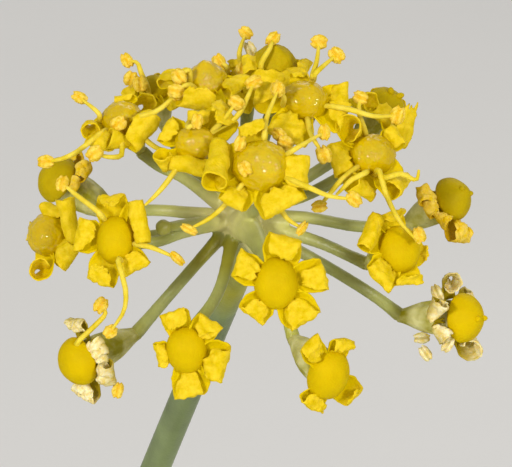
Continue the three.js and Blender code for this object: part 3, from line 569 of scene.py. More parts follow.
def frond_lines(frond):
    """Every thread of a leaf, the part's own ones and the finer ones between them."""
    grow = random.Random(frond["seed"])
    lines = []
    for foot, way, beside, normal, length, threads in threads_of(frond):
        bow = normal * (0.02 * length)
        lines.append(tapering(foot, foot + way * length, bow, RIB_FOOT_RADIUS, RIB_TIP_RADIUS, 6))
        for at, side_hand, reach, slope, lift in threads:
            for spot, hand, share in ((at, side_hand, 1), (at + 0.02 * length, -side_hand, 0.82)):
                start = foot + way * spot + bow * (4 * (spot / length) * (1 - spot / length))
                out = off(way, beside, normal, slope, hand, lift * share)
                spray(lines, grow, start, out.normalized(), normal, reach * share * out.length, 2)
        for spot in (0.9, 0.96):
            for hand in (-1, 1):
                out = (way * 0.8 + beside * (hand * 0.5) + normal * grow.uniform(-0.2, 0.3)).normalized()
                spray(lines, grow, foot + way * (spot * length), out, normal, length * 0.12, 1)
    return lines


def midrib(bm, frond):
    """The leaf's stalk and midrib, up to its last ribs."""
    curve = frond["curve"]
    ribbed_rod(bm, lambda t: curve(t * RACHIS_END), frond["radius"], MIDRIB_TIP_RADIUS, ribs=7, steps=36)


def arch(foot, azimuth, length, rise, droop):
    """A leaf's course, which sets out at one slope and ends at another."""
    by = foot + heading(azimuth, rise) * (length * 0.5)
    return bend(foot, by, by + heading(azimuth, droop) * (length * 0.5))


take(stem_curve, STEM_BASE_RADIUS, 24)
take(branch_curve, BRANCH_BASE_RADIUS, 8)
for base, rays in ((top_umbel, TOP_RAYS), (side_umbel, SIDE_RAYS)):
    for ray in rays:
        curve = ray_curve(base, ray)
        take(curve, 1, 4)
        taken.append((curve(1), curve(1) + way_of(curve, 1) * 4, UMBELLET_REACH + 2))
taken.append((FRONT_HUB, FRONT_HUB, FRONT_UMBELLET_REACH))
taken.append((side_umbel, FRONT_HUB, 1.2))

leaf_skin = surface("leaf", (0.075, 0.175, 0.030), (0.15, 0.29, 0.055), 14, 0.48, 1.5, 0.05,
                    Subsurface_Weight=0.15, Subsurface_Radius=(0.0005, 0.0009, 0.0002))


# Stem leaves: each midrib rises from a sheath, a ribbed sleeve that wraps the stem.
SHEATH_HEIGHT = 19
SHEATH_WALL = 0.9
STEM_FROND_RADIUS = 1.5
# A stem leaf has its node, its direction in degrees, its length, its first and last slope, and its pairs of
# ribs.
STEM_FRONDS = [
    (2, 205, 165, 52, 8, 4), (3, 350, 155, 48, 2, 4), (4, 118, 140, 50, 5, 4),
    (5, 318, 92, 8, -22, 3), (6, 178, 92, 52, 14, 3), (7, 70, 62, 40, 0, 2),
]


def sheath(bm, foot, along, out, bore):
    """A sleeve turned from one slanting line, higher on the side that its leaf grows from."""
    profile = [(0, -0.5), (0.3, 2), (0.75, 8), (0.6, 14), (0.15, SHEATH_HEIGHT)]
    made = turn_profile(bm, [(bore + wider, height) for wider, height in profile], 96)
    faces = list({face for vert in made for face in vert.link_faces})
    bmesh.ops.recalc_face_normals(bm, faces=faces)
    for vert in made:
        facing = Vector((vert.co.x, vert.co.y, 0)).normalized().dot(out)
        rib = 1 + 0.03 * math.cos(24 * math.atan2(vert.co.y, vert.co.x))
        vert.co = (vert.co.x * rib, vert.co.y * rib, vert.co.z * (0.72 + 0.28 * facing))
    bmesh.ops.transform(bm, matrix=Matrix.Translation(foot) @ turn_to(along), verts=made)
    bmesh.ops.solidify(bm, geom=faces, thickness=-0.5)


for i, (node, azimuth, length, rise, droop, pairs) in enumerate(STEM_FRONDS):
    t = node / (len(STEM_NODES) - 1)
    foot = stem_curve(t)
    along = (stem_curve(t + 0.06) - foot).normalized()
    bore = STEM_BASE_RADIUS + (STEM_TOP_RADIUS - STEM_BASE_RADIUS) * t + 0.8
    start = foot + along * 5 + heading(azimuth, 0) * (bore + SHEATH_WALL)
    frond = {"seed": 101 + 17 * i, "pairs": pairs, "length": length, "radius": STEM_FROND_RADIUS,
             "curve": arch(start, azimuth, length, rise, droop)}
    leaf = bmesh.new()
    sheath(leaf, foot, along, heading(azimuth, 0), bore)
    midrib(leaf, frond)
    add_rods(leaf, frond_lines(frond), 0)
    add_piece(f"stem_leaf_{i + 1}", leaf, [leaf_skin], "frond_green", f"stem_frond_{i + 1}")

for i, (azimuth, length, rise, droop) in enumerate(BASAL_FRONDS):
    foot = heading(azimuth, 0) * BASAL_CIRCLE + Vector((*BASAL_MIDDLE, BASAL_FOOT_Z))
    frond = {"seed": 301 + 23 * i, "pairs": 4, "length": length, "radius": BASAL_STALK_RADIUS,
             "curve": arch(foot, azimuth, length, rise, droop)}
    leaf = bmesh.new()
    midrib(leaf, frond)
    add_rods(leaf, frond_lines(frond), 0)
    add_piece(f"basal_leaf_{i + 1}", leaf, [leaf_skin], "frond_green", f"basal_frond_{i + 1}")


# Stalks of the front umbellet: its ray, the pale hub and the pedicels, which grow from the hub as one piece.
# Round rods are fused and smoothed, so that the pedicels run into the hub in soft webs, as the real ones do.
# Places are in mm from the hub: to the right, up and towards the viewer, as they look from the camera.
FRONT_RAY_RADIUS = 0.66
PEDICEL_RADIUS = 0.25
PEDICEL_FOOT, PEDICEL_FOOT_LENGTH = 0.1, 1.2
WEB_FOOT, WEB_FOOT_LENGTH = 0.42, 2.6
FRONT_HUB_RADIUS = 0.75
BUD_RADIUS = 0.33
OVARY_LENGTH = 2.8
FUSE_SIZE = 0.085
SMOOTHINGS = 3
RAY_AXIS = Vector((0.21, 0.57, 0.79)).normalized()
RAY_FOOT, RAY_BY, RAY_END = (-9.08, -24.52, -34.04), (-4.25, -12.0, -17.4), (0.8, -0.4, -0.7)
FRONT_BUD = (-2.92, -0.4, 3.9)
# A flower's at is the middle of its nectar dome, and faces is the way that it looks. The dome has a radius,
# is tall or wide as seen, may lean, in degrees, and may rise to a peak. A wet dome is bumpy and glossy with
# nectar, a ripe one is darker and duller, partly its own tone and partly painted shade for a dome that lies
# deep in the umbellet, and an older one carries two styles. Low is how far the petals have sunk below the
# dome. A petal is its direction round the dome as seen, in degrees, its half width, its reach from the
# dome's middle, how far it curls, in degrees, the radius of its fold, and how far its roll is twisted towards
# the viewer and swung round, in degrees. Fading petals have browned, and old ones are cream and shrivelled.
# A stamen is the places its thread passes through, and ends at its anther; a few anthers are slim. A bare
# thread has lost its anther, a loose anther lies on another piece, and a husk is a dried anther.
FRONT_FLOWERS = [
    {"at": (1.0, 2.04, 8.0), "faces": (0.0, 0.18, 1), "dome": 1.06, "tall": 0.9, "wet": True, "slim": (0, 2),
     "petals": [(178, 1.1, 2.1, 330, 0.46, 38), (104, 0.55, 1.75, 160, 0.28), (352, 0.65, 1.85, 200, 0.32),
                (300, 0.95, 1.95, 190, 0.3), (232, 0.62, 1.95, 225, 0.28)],
     "stamens": [[(1.75, 0.35, 7.8), (2.1, -0.1, 7.9), (2.64, -0.44, 8.1)],
                 [(2.9, 1.2, 8.8), (3.72, 0.85, 8.8), (4.72, 0.72, 8.6)],
                 [(-0.2, 0.75, 7.9), (-1.0, 0.0, 7.9), (-1.88, -0.48, 7.9)],
                 [(2.4, 2.75, 8.6), (3.52, 3.4, 7.4)], [(1.2, 3.9, 7.6), (1.68, 5.12, 6.9)]],
     "loose": [(0.36, 1.95, 8.78), (0.16, 2.94, 8.4)]},
    {"at": (-1.62, 2.96, 6.5), "faces": (-0.15, 0.2, 1), "dome": 0.78, "tall": 0.85, "wet": True,
     "petals": [(154, 0.6, 1.4, 185, 0.28), (215, 0.4, 1.85, 300, 0.42, -55, -45),
                (260, 0.75, 1.35, 290, 0.42), (40, 0.7, 1.85, 130, 0.34), (80, 0.5, 1.3, 180, 0.28)],
     "stamens": [[(0.0, 4.0, 7.0), (0.45, 4.8, 7.0), (0.7, 5.4, 6.6)], [(-0.5, 3.9, 7.3), (0.0, 4.6, 7.2)],
                 [(-1.9, 3.6, 7.4), (-1.56, 3.84, 7.5)]],
     "bare": [[(-2.7, 1.5, 7.1), (-3.16, 0.95, 7.0), (-3.64, 0.5, 6.6)]]},
    {"at": (-4.6, 3.94, 3.8), "faces": (-0.3, 0.52, 0.8), "dome": 0.78, "tall": 0.9, "wet": True,
     "petals": [(202, 0.62, 1.65, 280, 0.4, 35), (234, 0.6, 1.65, 195, 0.3), (272, 0.48, 1.6, 260, 0.38, -45),
                (327, 0.85, 1.7, 165, 0.34), (80, 0.5, 1.05, 200, 0.22)],
     "stamens": [[(-6.35, 2.65, 4.8), (-7.0, 2.35, 4.5), (-7.64, 2.24, 4.2)],
                 [(-4.6, 2.5, 5.2), (-5.1, 2.42, 5.6), (-5.68, 2.56, 5.8)],
                 [(-3.85, 4.05, 4.8), (-3.2, 4.25, 4.9), (-2.6, 4.75, 4.9), (-2.44, 4.96, 4.9)],
                 [(-5.5, 4.15, 4.2), (-6.28, 4.8, 3.6)]],
     "bare": [[(-3.5, 3.0, 4.9), (-3.1, 2.75, 5.1), (-2.5, 2.64, 5.3)]], "loose": [(-4.72, 3.75, 4.75)]},
    {"at": (-3.3, 5.12, 0.6), "faces": (-0.2, 0.75, 0.6), "dome": 0.68, "ripe_and_shaded": True,
     "petals": [(250, 0.5, 1.95, 300, 0.46, 37, -50), (330, 0.42, 1.7, 110, 0.25), (60, 0.35, 0.8, 120, 0.14),
                (140, 0.4, 0.85, 120, 0.16), (200, 0.5, 1.3, 170, 0.26)],
     "stamens": [[(-3.6, 5.3, 1.6), (-3.83, 5.8, 1.6), (-3.98, 6.2, 1.4), (-4.4, 6.3, 1.1)],
                 [(-3.9, 5.4, 1.6), (-4.24, 5.56, 1.6)]],
     "loose": [(-3.86, 5.36, 1.9)]},
    {"at": (-1.2, 5.42, 3.8), "faces": (-0.05, 0.78, 0.6), "dome": 0.84, "peak": 0.38, "wet": True,
     "petals": [(256, 0.95, 2.0, 100, 0.4), (178, 0.45, 1.85, 180, 0.24), (163, 0.4, 1.2, 160, 0.2),
                (345, 0.7, 1.6, 190, 0.28), (60, 0.4, 0.95, 120, 0.14)],
     "stamens": [[(-2.0, 5.3, 5.2), (-2.4, 5.05, 5.2)], [(-1.9, 5.9, 4.9), (-2.3, 5.64, 5.0)]]},
    {"at": (0.24, 5.5, 1.4), "faces": (-0.1, 0.5, 0.85), "dome": 0.6,
     "petals": [(190, 0.75, 1.5, 200, 0.3), (250, 0.8, 1.5, 210, 0.3), (320, 0.7, 1.35, 200, 0.3),
                (30, 0.55, 1.1, 200, 0.26), (100, 0.5, 0.95, 180, 0.2)],
     "stamens": [[(-0.4, 6.05, 2.0), (-0.7, 6.24, 1.9)], [(0.1, 6.6, 1.6), (0.36, 7.4, 1.2)]],
     "loose": [(0.2, 5.9, 2.5)], "husks": [(0.54, 6.74, 1.1)]},
    {"at": (1.5, 6.1, 2.8), "faces": (0.05, 0.72, 0.69), "dome": 0.88, "peak": 0.3, "wet": True, "ripe_and_shaded": True,
     "petals": [(190, 0.6, 1.35, 190, 0.28), (250, 0.75, 1.5, 170, 0.3), (312, 0.75, 1.65, 190, 0.3),
                (348, 0.55, 1.4, 150, 0.22), (90, 0.35, 0.95, 120, 0.14)],
     "stamens": [[(1.0, 6.2, 3.9), (1.35, 6.8, 3.7), (1.45, 7.15, 3.3)]]},
    {"at": (2.7, 4.66, 5.3), "faces": (0.1, 0.4, 0.92), "dome": 0.88, "tall": 0.84, "wet": True,
     "petals": [(176, 0.62, 1.9, 150, 0.34), (246, 0.86, 2.0, 190, 0.34), (6, 0.56, 1.75, 230, 0.28),
                (334, 0.7, 1.85, 200, 0.3), (100, 0.4, 1.1, 160, 0.2)],
     "stamens": [[(3.05, 5.7, 5.7), (3.22, 6.3, 5.1), (3.3, 7.02, 4.6)],
                 [(3.15, 5.75, 5.8), (3.5, 6.08, 5.5), (4.0, 6.5, 5.0)],
                 [(4.6, 4.3, 6.0), (5.5, 4.05, 5.8), (6.44, 4.08, 5.4)],
                 [(3.0, 3.3, 6.6), (3.5, 2.5, 6.8)], [(1.9, 4.8, 6.4), (1.65, 5.15, 6.3)]],
     "loose": [(1.72, 3.3, 7.0), (1.96, 2.98, 7.2)]},
    {"at": (5.45, 2.52, 5.0), "faces": (0.2, 0.2, 1), "dome": 0.86, "tall": 0.88, "wet": True,
     "petals": [(132, 0.5, 1.8, 300, 0.52, 56), (190, 0.72, 1.8, 190, 0.3), (38, 0.52, 1.38, 230, 0.3),
                (252, 0.72, 2.0, 265, 0.44, -38), (308, 0.78, 1.95, 280, 0.45, -40)],
     "stamens": [[(4.2, 1.5, 6.2), (3.7, 0.9, 6.4), (3.32, 0.44, 6.4)], [(4.9, 4.2, 5.3), (4.96, 4.8, 5.0)]],
     "bare": [[(5.7, 1.9, 6.2), (6.0, 0.9, 6.2), (6.5, -0.1, 5.9), (7.1, -0.8, 5.6)],
              [(6.0, 1.6, 6.4), (6.6, 1.75, 6.5), (7.2, 1.5, 6.4), (7.3, 1.9, 6.3)],
              [(5.2, 1.8, 6.4), (4.6, 1.5, 6.5), (4.3, 1.2, 6.5), (4.0, 0.9, 6.4)]]},
    {"at": (5.95, 4.48, 1.6), "faces": (0.52, 0.66, 0.5), "dome": 0.8, "tall": 1.08, "ripe_and_shaded": True,
     "styles": True,
     "petals": [(184, 0.5, 2.15, 280, 0.38, 40), (246, 0.6, 1.5, 150, 0.3), (281, 0.5, 2.6, 130, 0.34),
                (20, 0.4, 1.0, 120, 0.18), (110, 0.35, 0.92, 120, 0.14)]},
    {"at": (8.56, 0.74, 0.8), "faces": (0.7, 0.4, 0.58), "dome": 0.88, "tall": 1.08, "peak": 0.22,
     "ripe_and_shaded": True, "styles": True, "low": 0.35, "fading": True,
     "petals": [(166, 0.38, 1.66, 200, 0.25), (202, 0.36, 1.45, 230, 0.26), (244, 0.38, 1.5, 270, 0.3, 30),
                (288, 0.6, 1.75, 190, 0.28)]},
    {"at": (6.5, -1.28, 4.4), "faces": (0.42, 0.22, 0.87), "dome": 0.9, "tall": 1.13,
     "petals": [(152, 0.72, 1.75, 260, 0.34), (106, 0.6, 1.55, 130, 0.3), (350, 0.52, 1.15, 70, 0.18),
                (233, 0.72, 1.8, 200, 0.32), (284, 0.65, 1.5, 130, 0.26)],
     "stamens": [[(7.2, -0.85, 5.4), (7.3, -0.7, 5.5)]]},
    {"at": (9.0, -4.0, 1.5), "faces": (0.82, -0.02, 0.57), "dome": 0.98, "tall": 1.03, "peak": 0.1,
     "old": True, "styles": True, "low": 0.5,
     "petals": [(101, 0.45, 1.98, 300, 0.42, 35), (56, 0.34, 1.5, 200, 0.22),
                (162, 0.42, 2.1, 280, 0.38, -35), (218, 0.38, 1.6, 250, 0.32, 40),
                (292, 0.5, 1.74, 290, 0.44, -35)],
     "husks": [(8.02, -3.0, 2.0), (8.44, -5.05, 1.9), (7.4, -4.8, 0.7), (7.54, -5.42, 0.8)]},
    {"at": (3.63, -6.24, 4.0), "faces": (0.45, -0.45, 0.77), "dome": 0.97, "tall": 1.24, "lean": -15,
     "petals": [(121, 0.5, 2.05, 185, 0.26), (67, 0.52, 1.65, 230, 0.28), (320, 0.58, 1.74, 150, 0.28),
                (239, 0.62, 1.55, 190, 0.28)]},
    {"at": (1.58, -2.64, 7.2), "faces": (0.1, -0.1, 1), "dome": 0.93, "tall": 1.2,
     "petals": [(79, 0.72, 1.88, 190, 0.3), (153, 0.63, 1.82, 190, 0.3), (12, 0.66, 2.0, 200, 0.3),
                (232, 0.66, 1.64, 200, 0.3), (309, 0.76, 1.95, 205, 0.3)]},
    {"at": (-2.0, -5.28, 5.2), "faces": (-0.1, -0.3, 0.95), "dome": 0.87, "tall": 1.18,
     "petals": [(108, 0.55, 1.7, 150, 0.26), (50, 0.57, 1.68, 200, 0.28), (341, 0.8, 1.72, 205, 0.34),
                (277, 0.75, 1.95, 215, 0.34), (186, 0.5, 1.24, 260, 0.28)]},
    {"at": (-6.27, -5.71, 1.5), "faces": (-0.75, -0.36, 0.55), "dome": 0.98, "tall": 1.05, "old": True,
     "low": 0.5,
     "petals": [(104, 0.46, 1.7, 250, 0.3), (40, 0.42, 1.4, 160, 0.25), (8, 0.3, 1.2, 200, 0.22),
                (328, 0.42, 1.7, 290, 0.36), (273, 0.5, 1.85, 250, 0.32)],
     "stamens": [[(-5.64, -4.28, 2.1), (-5.25, -3.8, 2.1), (-5.44, -3.5, 2.1)]],
     "loose": [(-4.76, -6.9, 2.0)]},
    {"at": (-7.54, -0.68, 2.8), "faces": (-0.5, 0.1, 0.86), "dome": 0.86, "tall": 1.0, "wet": True,
     "petals": [(25, 0.92, 1.72, 300, 0.46, 14, -14), (264, 0.58, 1.92, 300, 0.48, 50),
                (316, 0.6, 1.68, 220, 0.34), (72, 0.55, 1.25, 200, 0.26), (172, 0.4, 0.9, 200, 0.2)]},
    {"at": (-4.83, -0.91, 6.0), "faces": (-0.2, 0.05, 0.97), "dome": 0.84, "tall": 1.28, "slim": (1,),
     "petals": [(95, 0.64, 1.75, 130, 0.3), (36, 0.85, 1.6, 300, 0.4, 0, -28), (305, 0.66, 1.56, 200, 0.3),
                (249, 0.62, 1.78, 145, 0.3), (172, 0.68, 1.55, 175, 0.3)],
     "stamens": [[(-5.5, 0.2, 6.6), (-6.4, 0.9, 6.2), (-6.96, 1.36, 5.9)],
                 [(-3.4, -1.2, 6.9), (-2.36, -1.64, 6.9)],
                 [(-4.72, -1.7, 7.0), (-4.42, -2.95, 6.9), (-4.5, -3.75, 6.5), (-5.04, -4.56, 5.9)]]},
    {"at": (-7.1, 1.5, -1.0), "faces": (-0.78, 0.47, 0.4), "dome": 0.98, "tall": 1.08, "ripe_and_shaded": True,
     "low": 0.4, "fading": True,
     "petals": [(34, 0.42, 1.55, 200, 0.26), (352, 0.35, 1.25, 200, 0.24), (66, 0.4, 1.3, 200, 0.24)]},
]
# The places that a pedicel passes on its way, where it doesn't run straight to its flower. Two pedicels are
# painted olive right from the hub, as painted shade, and one joins it in a wide web.
PEDICEL_BENDS = {
    0: [(1.0, 0.6, 4.0)], 2: [(-2.1, 1.6, 1.4), (-3.1, 2.08, 1.6)], 8: [(1.5, 0.5, 1.0), (2.7, 0.88, 1.5)],
    10: [(2.5, 0.05, 0.9), (4.9, -0.34, 0.2)], 11: [(3.3, -0.98, 1.4), (4.4, -1.47, 1.75)],
    12: [(3.3, -1.77, 0.8), (5.5, -3.12, 0.4)], 13: [(1.8, -3.3, 1.5)], 14: [(0.84, -1.0, 3.0)],
    15: [(-0.75, -3.0, 1.9)], 16: [(-2.34, -2.66, 0.9)], 17: [(-3.6, -0.75, 1.4)],
    18: [(-2.2, -0.6, 2.4), (-3.2, -0.95, 3.2)], 19: [(-3.4, 0.32, -0.4)],
}
SHADED_PEDICELS = (15, 16)
WEBBED_PEDICEL = 14


def seen(place):
    """A place of the table in space: what is nearer looks bigger, so it lies closer to the line of sight."""
    nearer = (VIEW_DISTANCE - place[2]) / VIEW_DISTANCE
    return Vector((place[0] * nearer, place[1] * nearer, place[2]))


to_plant = Matrix.Translation(FRONT_HUB) @ view_turn.to_4x4()


def stalk_material():
    """Whitish green at the hub, greener along the pedicels, blue-green down the ray, with soft blotches.

    Two pedicels are painted olive near the hub, as painted shade.
    """
    skin = material_of("pedicel_skin", Roughness=0.42, Subsurface_Weight=0.3,
                       Subsurface_Radius=(0.0004, 0.0005, 0.00015))
    nodes, links = skin.node_tree.nodes, skin.node_tree.links
    green_and_shade = nodes.new("ShaderNodeAttribute")
    green_and_shade.attribute_name = "greenness_and_shade"
    colour = add_ramp(skin, green_and_shade.outputs["Fac"], (0.0, (0.67, 0.62, 0.26)), (0.16, (0.48, 0.47, 0.15)),
                      (0.4, (0.34, 0.36, 0.10)), (0.72, (0.30, 0.28, 0.02)), (1.0, (0.16, 0.20, 0.08)))
    spread = nodes.new("ShaderNodeMapRange")
    for socket, value in (("From Min", 0.3), ("From Max", 0.7), ("To Min", 0.7), ("To Max", 1.18)):
        spread.inputs[socket].default_value = value
    links.new(add_noise(skin, 1.6, 5).outputs["Fac"], spread.inputs["Value"])
    shade = nodes.new("ShaderNodeVectorMath")
    shade.operation = "SCALE"
    links.new(colour, shade.inputs[0])
    links.new(spread.outputs["Result"], shade.inputs["Scale"])
    links.new(shade.outputs["Vector"], nodes["Principled BSDF"].inputs["Base Color"])
    add_bump(skin, add_noise(skin, 0.12, 2), 0.02)
    return skin


def pedicel_line(index, flower):
    """A pedicel from inside the hub to the foot of its flower's ovary, thick at both ends."""
    facing = Vector(flower["faces"]).normalized()
    end = seen(flower["at"]) - facing * (OVARY_LENGTH * flower["dome"] + 0.15)
    curve = bend(Vector(), end * 0.55 - facing * 0.6, end)
    if index in PEDICEL_BENDS:
        curve = flowing([Vector(), *map(seen, PEDICEL_BENDS[index]), end])
    foot, length = PEDICEL_FOOT, PEDICEL_FOOT_LENGTH
    if index == WEBBED_PEDICEL:
        foot, length = WEB_FOOT, WEB_FOOT_LENGTH
    line = []
    for step in range(15):
        t = step / 14
        swell = foot * math.exp(-(t * end.length / length) ** 2) + 0.06 * t ** 6
        line.append((curve(t), PEDICEL_RADIUS + swell))
    return line


def greenness_and_shade_at(place, ends, painted_shade_ways):
    """How far from the hub's whitish green a point of the stalks has turned, from 0 to 1, painted shade
    included.
    """
    out = place.length
    if place.dot(RAY_AXIS) < -0.6 * out and out > 1.6:
        return min(1, 0.25 + 0.75 * (out - 1.6) / 5)
    near_end = min((place - end).length for end in ends)
    green_and_shade = max(min(0.45, max(0, out - 0.9) * 0.12), 0.72 - 0.3 * near_end)
    # Along two pedicels the stalks are painted olive near the hub: painted shade.
    if out > 0.6 and max(place.dot(way) for way in painted_shade_ways) > 0.95 * out:
        green_and_shade = max(green_and_shade, min(0.72, out - 0.6) - max(0, out - 2.4) * 0.3)
    return green_and_shade


stalk_lines = [pedicel_line(i, flower) for i, flower in enumerate(FRONT_FLOWERS)]
pedicel_ends = [line[-1][0] for line in stalk_lines]
painted_shade_ways = [stalk_lines[i][5][0].normalized() for i in SHADED_PEDICELS]
ray = bend(Vector(RAY_FOOT), Vector(RAY_BY), Vector(RAY_END))
stalk_lines.append([(ray(k / 40), FRONT_RAY_RADIUS - 0.07 * (k / 40) ** 3) for k in range(41)])
bud = seen(FRONT_BUD)
stalk_lines.append([(bud * 0.3, 0.3), (bud * 0.8, 0.24), (bud, 0.2)])
rough = bmesh.new()
add_rods(rough, stalk_lines, 4)
bmesh.ops.create_icosphere(rough, subdivisions=4, radius=FRONT_HUB_RADIUS)
bud_ball = bmesh.ops.create_icosphere(rough, subdivisions=4, radius=BUD_RADIUS)["verts"]
for vert in bud_ball:
    vert.co *= 1 + 0.2 * noise.noise(vert.co * 7) + 0.12 * noise.noise(vert.co * 17)
bmesh.ops.translate(rough, vec=bud, verts=bud_ball)
rough_piece = place_mesh("stalks", rough)
fuse = rough_piece.modifiers.new("fuse", "REMESH")
fuse.mode, fuse.voxel_size = "VOXEL", FUSE_SIZE
stalks = bmesh.new()
stalks.from_mesh(worked_out(rough_piece))
bpy.data.objects.remove(rough_piece)
for _ in range(SMOOTHINGS):
    bmesh.ops.smooth_vert(stalks, verts=stalks.verts, factor=0.5, use_axis_x=True, use_axis_y=True,
                          use_axis_z=True)
greenness_and_shade = stalks.verts.layers.float.new("greenness_and_shade")
for vert in stalks.verts:
    vert[greenness_and_shade] = greenness_and_shade_at(vert.co, [*pedicel_ends, bud], painted_shade_ways)
bmesh.ops.transform(stalks, matrix=to_plant, verts=stalks.verts)
add_piece("front_stalks", stalks, [stalk_material()], "pedicel_green", "front_umbellet_stalks")


# Flowers of the front umbellet. Each has a ribbed ovary, a dome that makes nectar, and up to five petals.
# A petal is a cupped blade, folded over at its outer edge, with a crumpled tip turned in to the dome. Up to
# five soft threads carry powdery two-lobed anthers. Fading and old flowers keep a few shrunken petals.
PETAL_THICK = 0.05
BLADE_LOW = -0.18
BLADE_RISE = 0.1
BLADE_RIM = 0.35
STYLE_RADIUS = 0.13
ANTHER_LENGTH = 0.36
FILAMENT_RADIUS = 0.095
GLOW = (0.0006, 0.0004, 0.00005)
DOME, WET_DOME, RIPE_AND_SHADED_DOME, PETAL, ANTHER, FILAMENT, OVARY, WITHERED, FADING = range(9)


def tender(name, dark, light, patch, roughness, grain, depth, gloss, **sockets):
    """A surface that light gets a little way into."""
    usual = {"Subsurface_Weight": 0.3, "Subsurface_Radius": GLOW, "Specular_IOR_Level": gloss}
    return surface(name, dark, light, patch, roughness, grain, depth, **{**usual, **sockets})


def two_tone(name, hollow, dark, light, patch, roughness, grain, painted_glow):
    """One colour in the hollows, a petal's blade or an anther's groove, and patches of two others outside.

    The hollow colour also glows faintly, of the strength given: a painted glow for the light that comes
    through from behind."""
    # The emission is a painted glow in the hollow colour.
    skin = tender(name, dark, light, patch, roughness, grain, 0.03, 0.06, Emission_Color=(*hollow, 1),
                  Emission_Strength=painted_glow)
    turned_in = skin.node_tree.nodes.new("ShaderNodeAttribute")
    turned_in.attribute_name = "turned_in"
    blend(skin, turned_in.outputs["Fac"], hollow, "A")
    return skin


def flower_materials():
    """The skins in the order of DOME, WET_DOME and so on. An uneven film makes a wet dome glint in points."""
    wet = tender("wet_dome", (0.46, 0.315, 0.0), (0.54, 0.375, 0.0), 0.7, 0.5, 0.16, 0.02, 0.03,
                 Coat_Weight=1, Coat_Roughness=0.03, Coat_IOR=1.35)
    add_bump(wet, add_noise(wet, 0.3, 1), 0.16, "Coat Normal")
    return [
        tender("dome", (0.50, 0.35, 0.0), (0.56, 0.395, 0.0), 0.9, 0.6, 0.09, 0.012, 0.04),
        wet,
        # The ripe dome is darker and duller: partly its own tone, partly painted shade for domes deep in the
        # umbellet.
        tender("ripe_and_shaded_dome", (0.38, 0.275, 0.0), (0.44, 0.32, 0.0), 0.8, 0.55, 0.12, 0.02, 0.06),
        # The last number of each two-toned skin is the strength of its painted glow.
        two_tone("petal", (0.55, 0.405, 0.0), (0.52, 0.37, 0.0), (0.63, 0.46, 0.02), 0.24, 0.5, 0.09, 0.18),
        two_tone("anther", (0.66, 0.35, 0.0), (0.61, 0.41, 0.01), (0.76, 0.57, 0.10), 0.14, 0.9, 0.05, 0.05),
        tender("filament", (0.58, 0.445, 0.01), (0.70, 0.56, 0.06), 0.6, 0.5, 0.12, 0.02, 0.15),
        tender("ovary", (0.29, 0.26, 0.006), (0.60, 0.57, 0.25), 0.8, 0.5, 0.15, 0.03, 0.2,
               Subsurface_Weight=0.2),
        # The withered petal's blade is dark olive: partly its own golden colour, partly painted shade in its
        # hollow.
        two_tone("withered_petal", (0.26, 0.19, 0.004), (0.62, 0.47, 0.14), (0.74, 0.69, 0.44), 0.2, 0.6, 0.1,
                 0.2),
        two_tone("fading_petal", (0.45, 0.27, 0.0), (0.66, 0.44, 0.0), (0.72, 0.54, 0.10), 0.3, 0.6, 0.1,
                 0.12),
    ]


def dome(bm, radius, tall, lean, peak, cleft, bump, roundness, seed):
    """The nectar dome: a low ball with a flat foot, longer one way, with a faint cleft and perhaps a peak."""
    verts = bmesh.ops.create_icosphere(bm, subdivisions=roundness, radius=1)["verts"]
    shift = Vector((seed * 3.1, seed * 1.7, 0))
    turn = Matrix.Rotation(math.radians(lean), 3, "Z")
    for vert in verts:
        x, y, z = vert.co
        part = cleft * math.exp(-(x / 0.26) ** 2) * max(0, z + 0.15)
        bumps = bump * (noise.noise(vert.co * 2.4 + shift) + 0.5 * noise.noise(vert.co * 6 + shift))
        high = 0.86 + peak * math.exp(-(x * x + y * y) / 0.2) if z > 0 else 0.35
        spot = Vector((x / tall ** 0.5, y * tall ** 0.5, z * high))
        vert.co = turn @ spot * (radius * (1 - part + bumps))


def two_styles(bm, radius):
    """The pair of short knobs on top of an older dome."""
    for side in (-1, 1):
        verts = bmesh.ops.create_icosphere(bm, subdivisions=3, radius=STYLE_RADIUS)["verts"]
        bmesh.ops.scale(bm, vec=(1, 1, 1.6), verts=verts)
        lean = Matrix.Rotation(math.radians(side * 35), 4, "Y")
        place = Matrix.Translation((side * 0.2, 0, 0.86 * radius))
        bmesh.ops.transform(bm, matrix=place @ lean, verts=verts)


def wobble(spot, shift, often, apart, row):
    """A noise in three directions, which changes a number of times in a mm."""
    return Vector([noise.noise(spot * often + shift + Vector((k * apart, row, 0))) for k in range(3)])


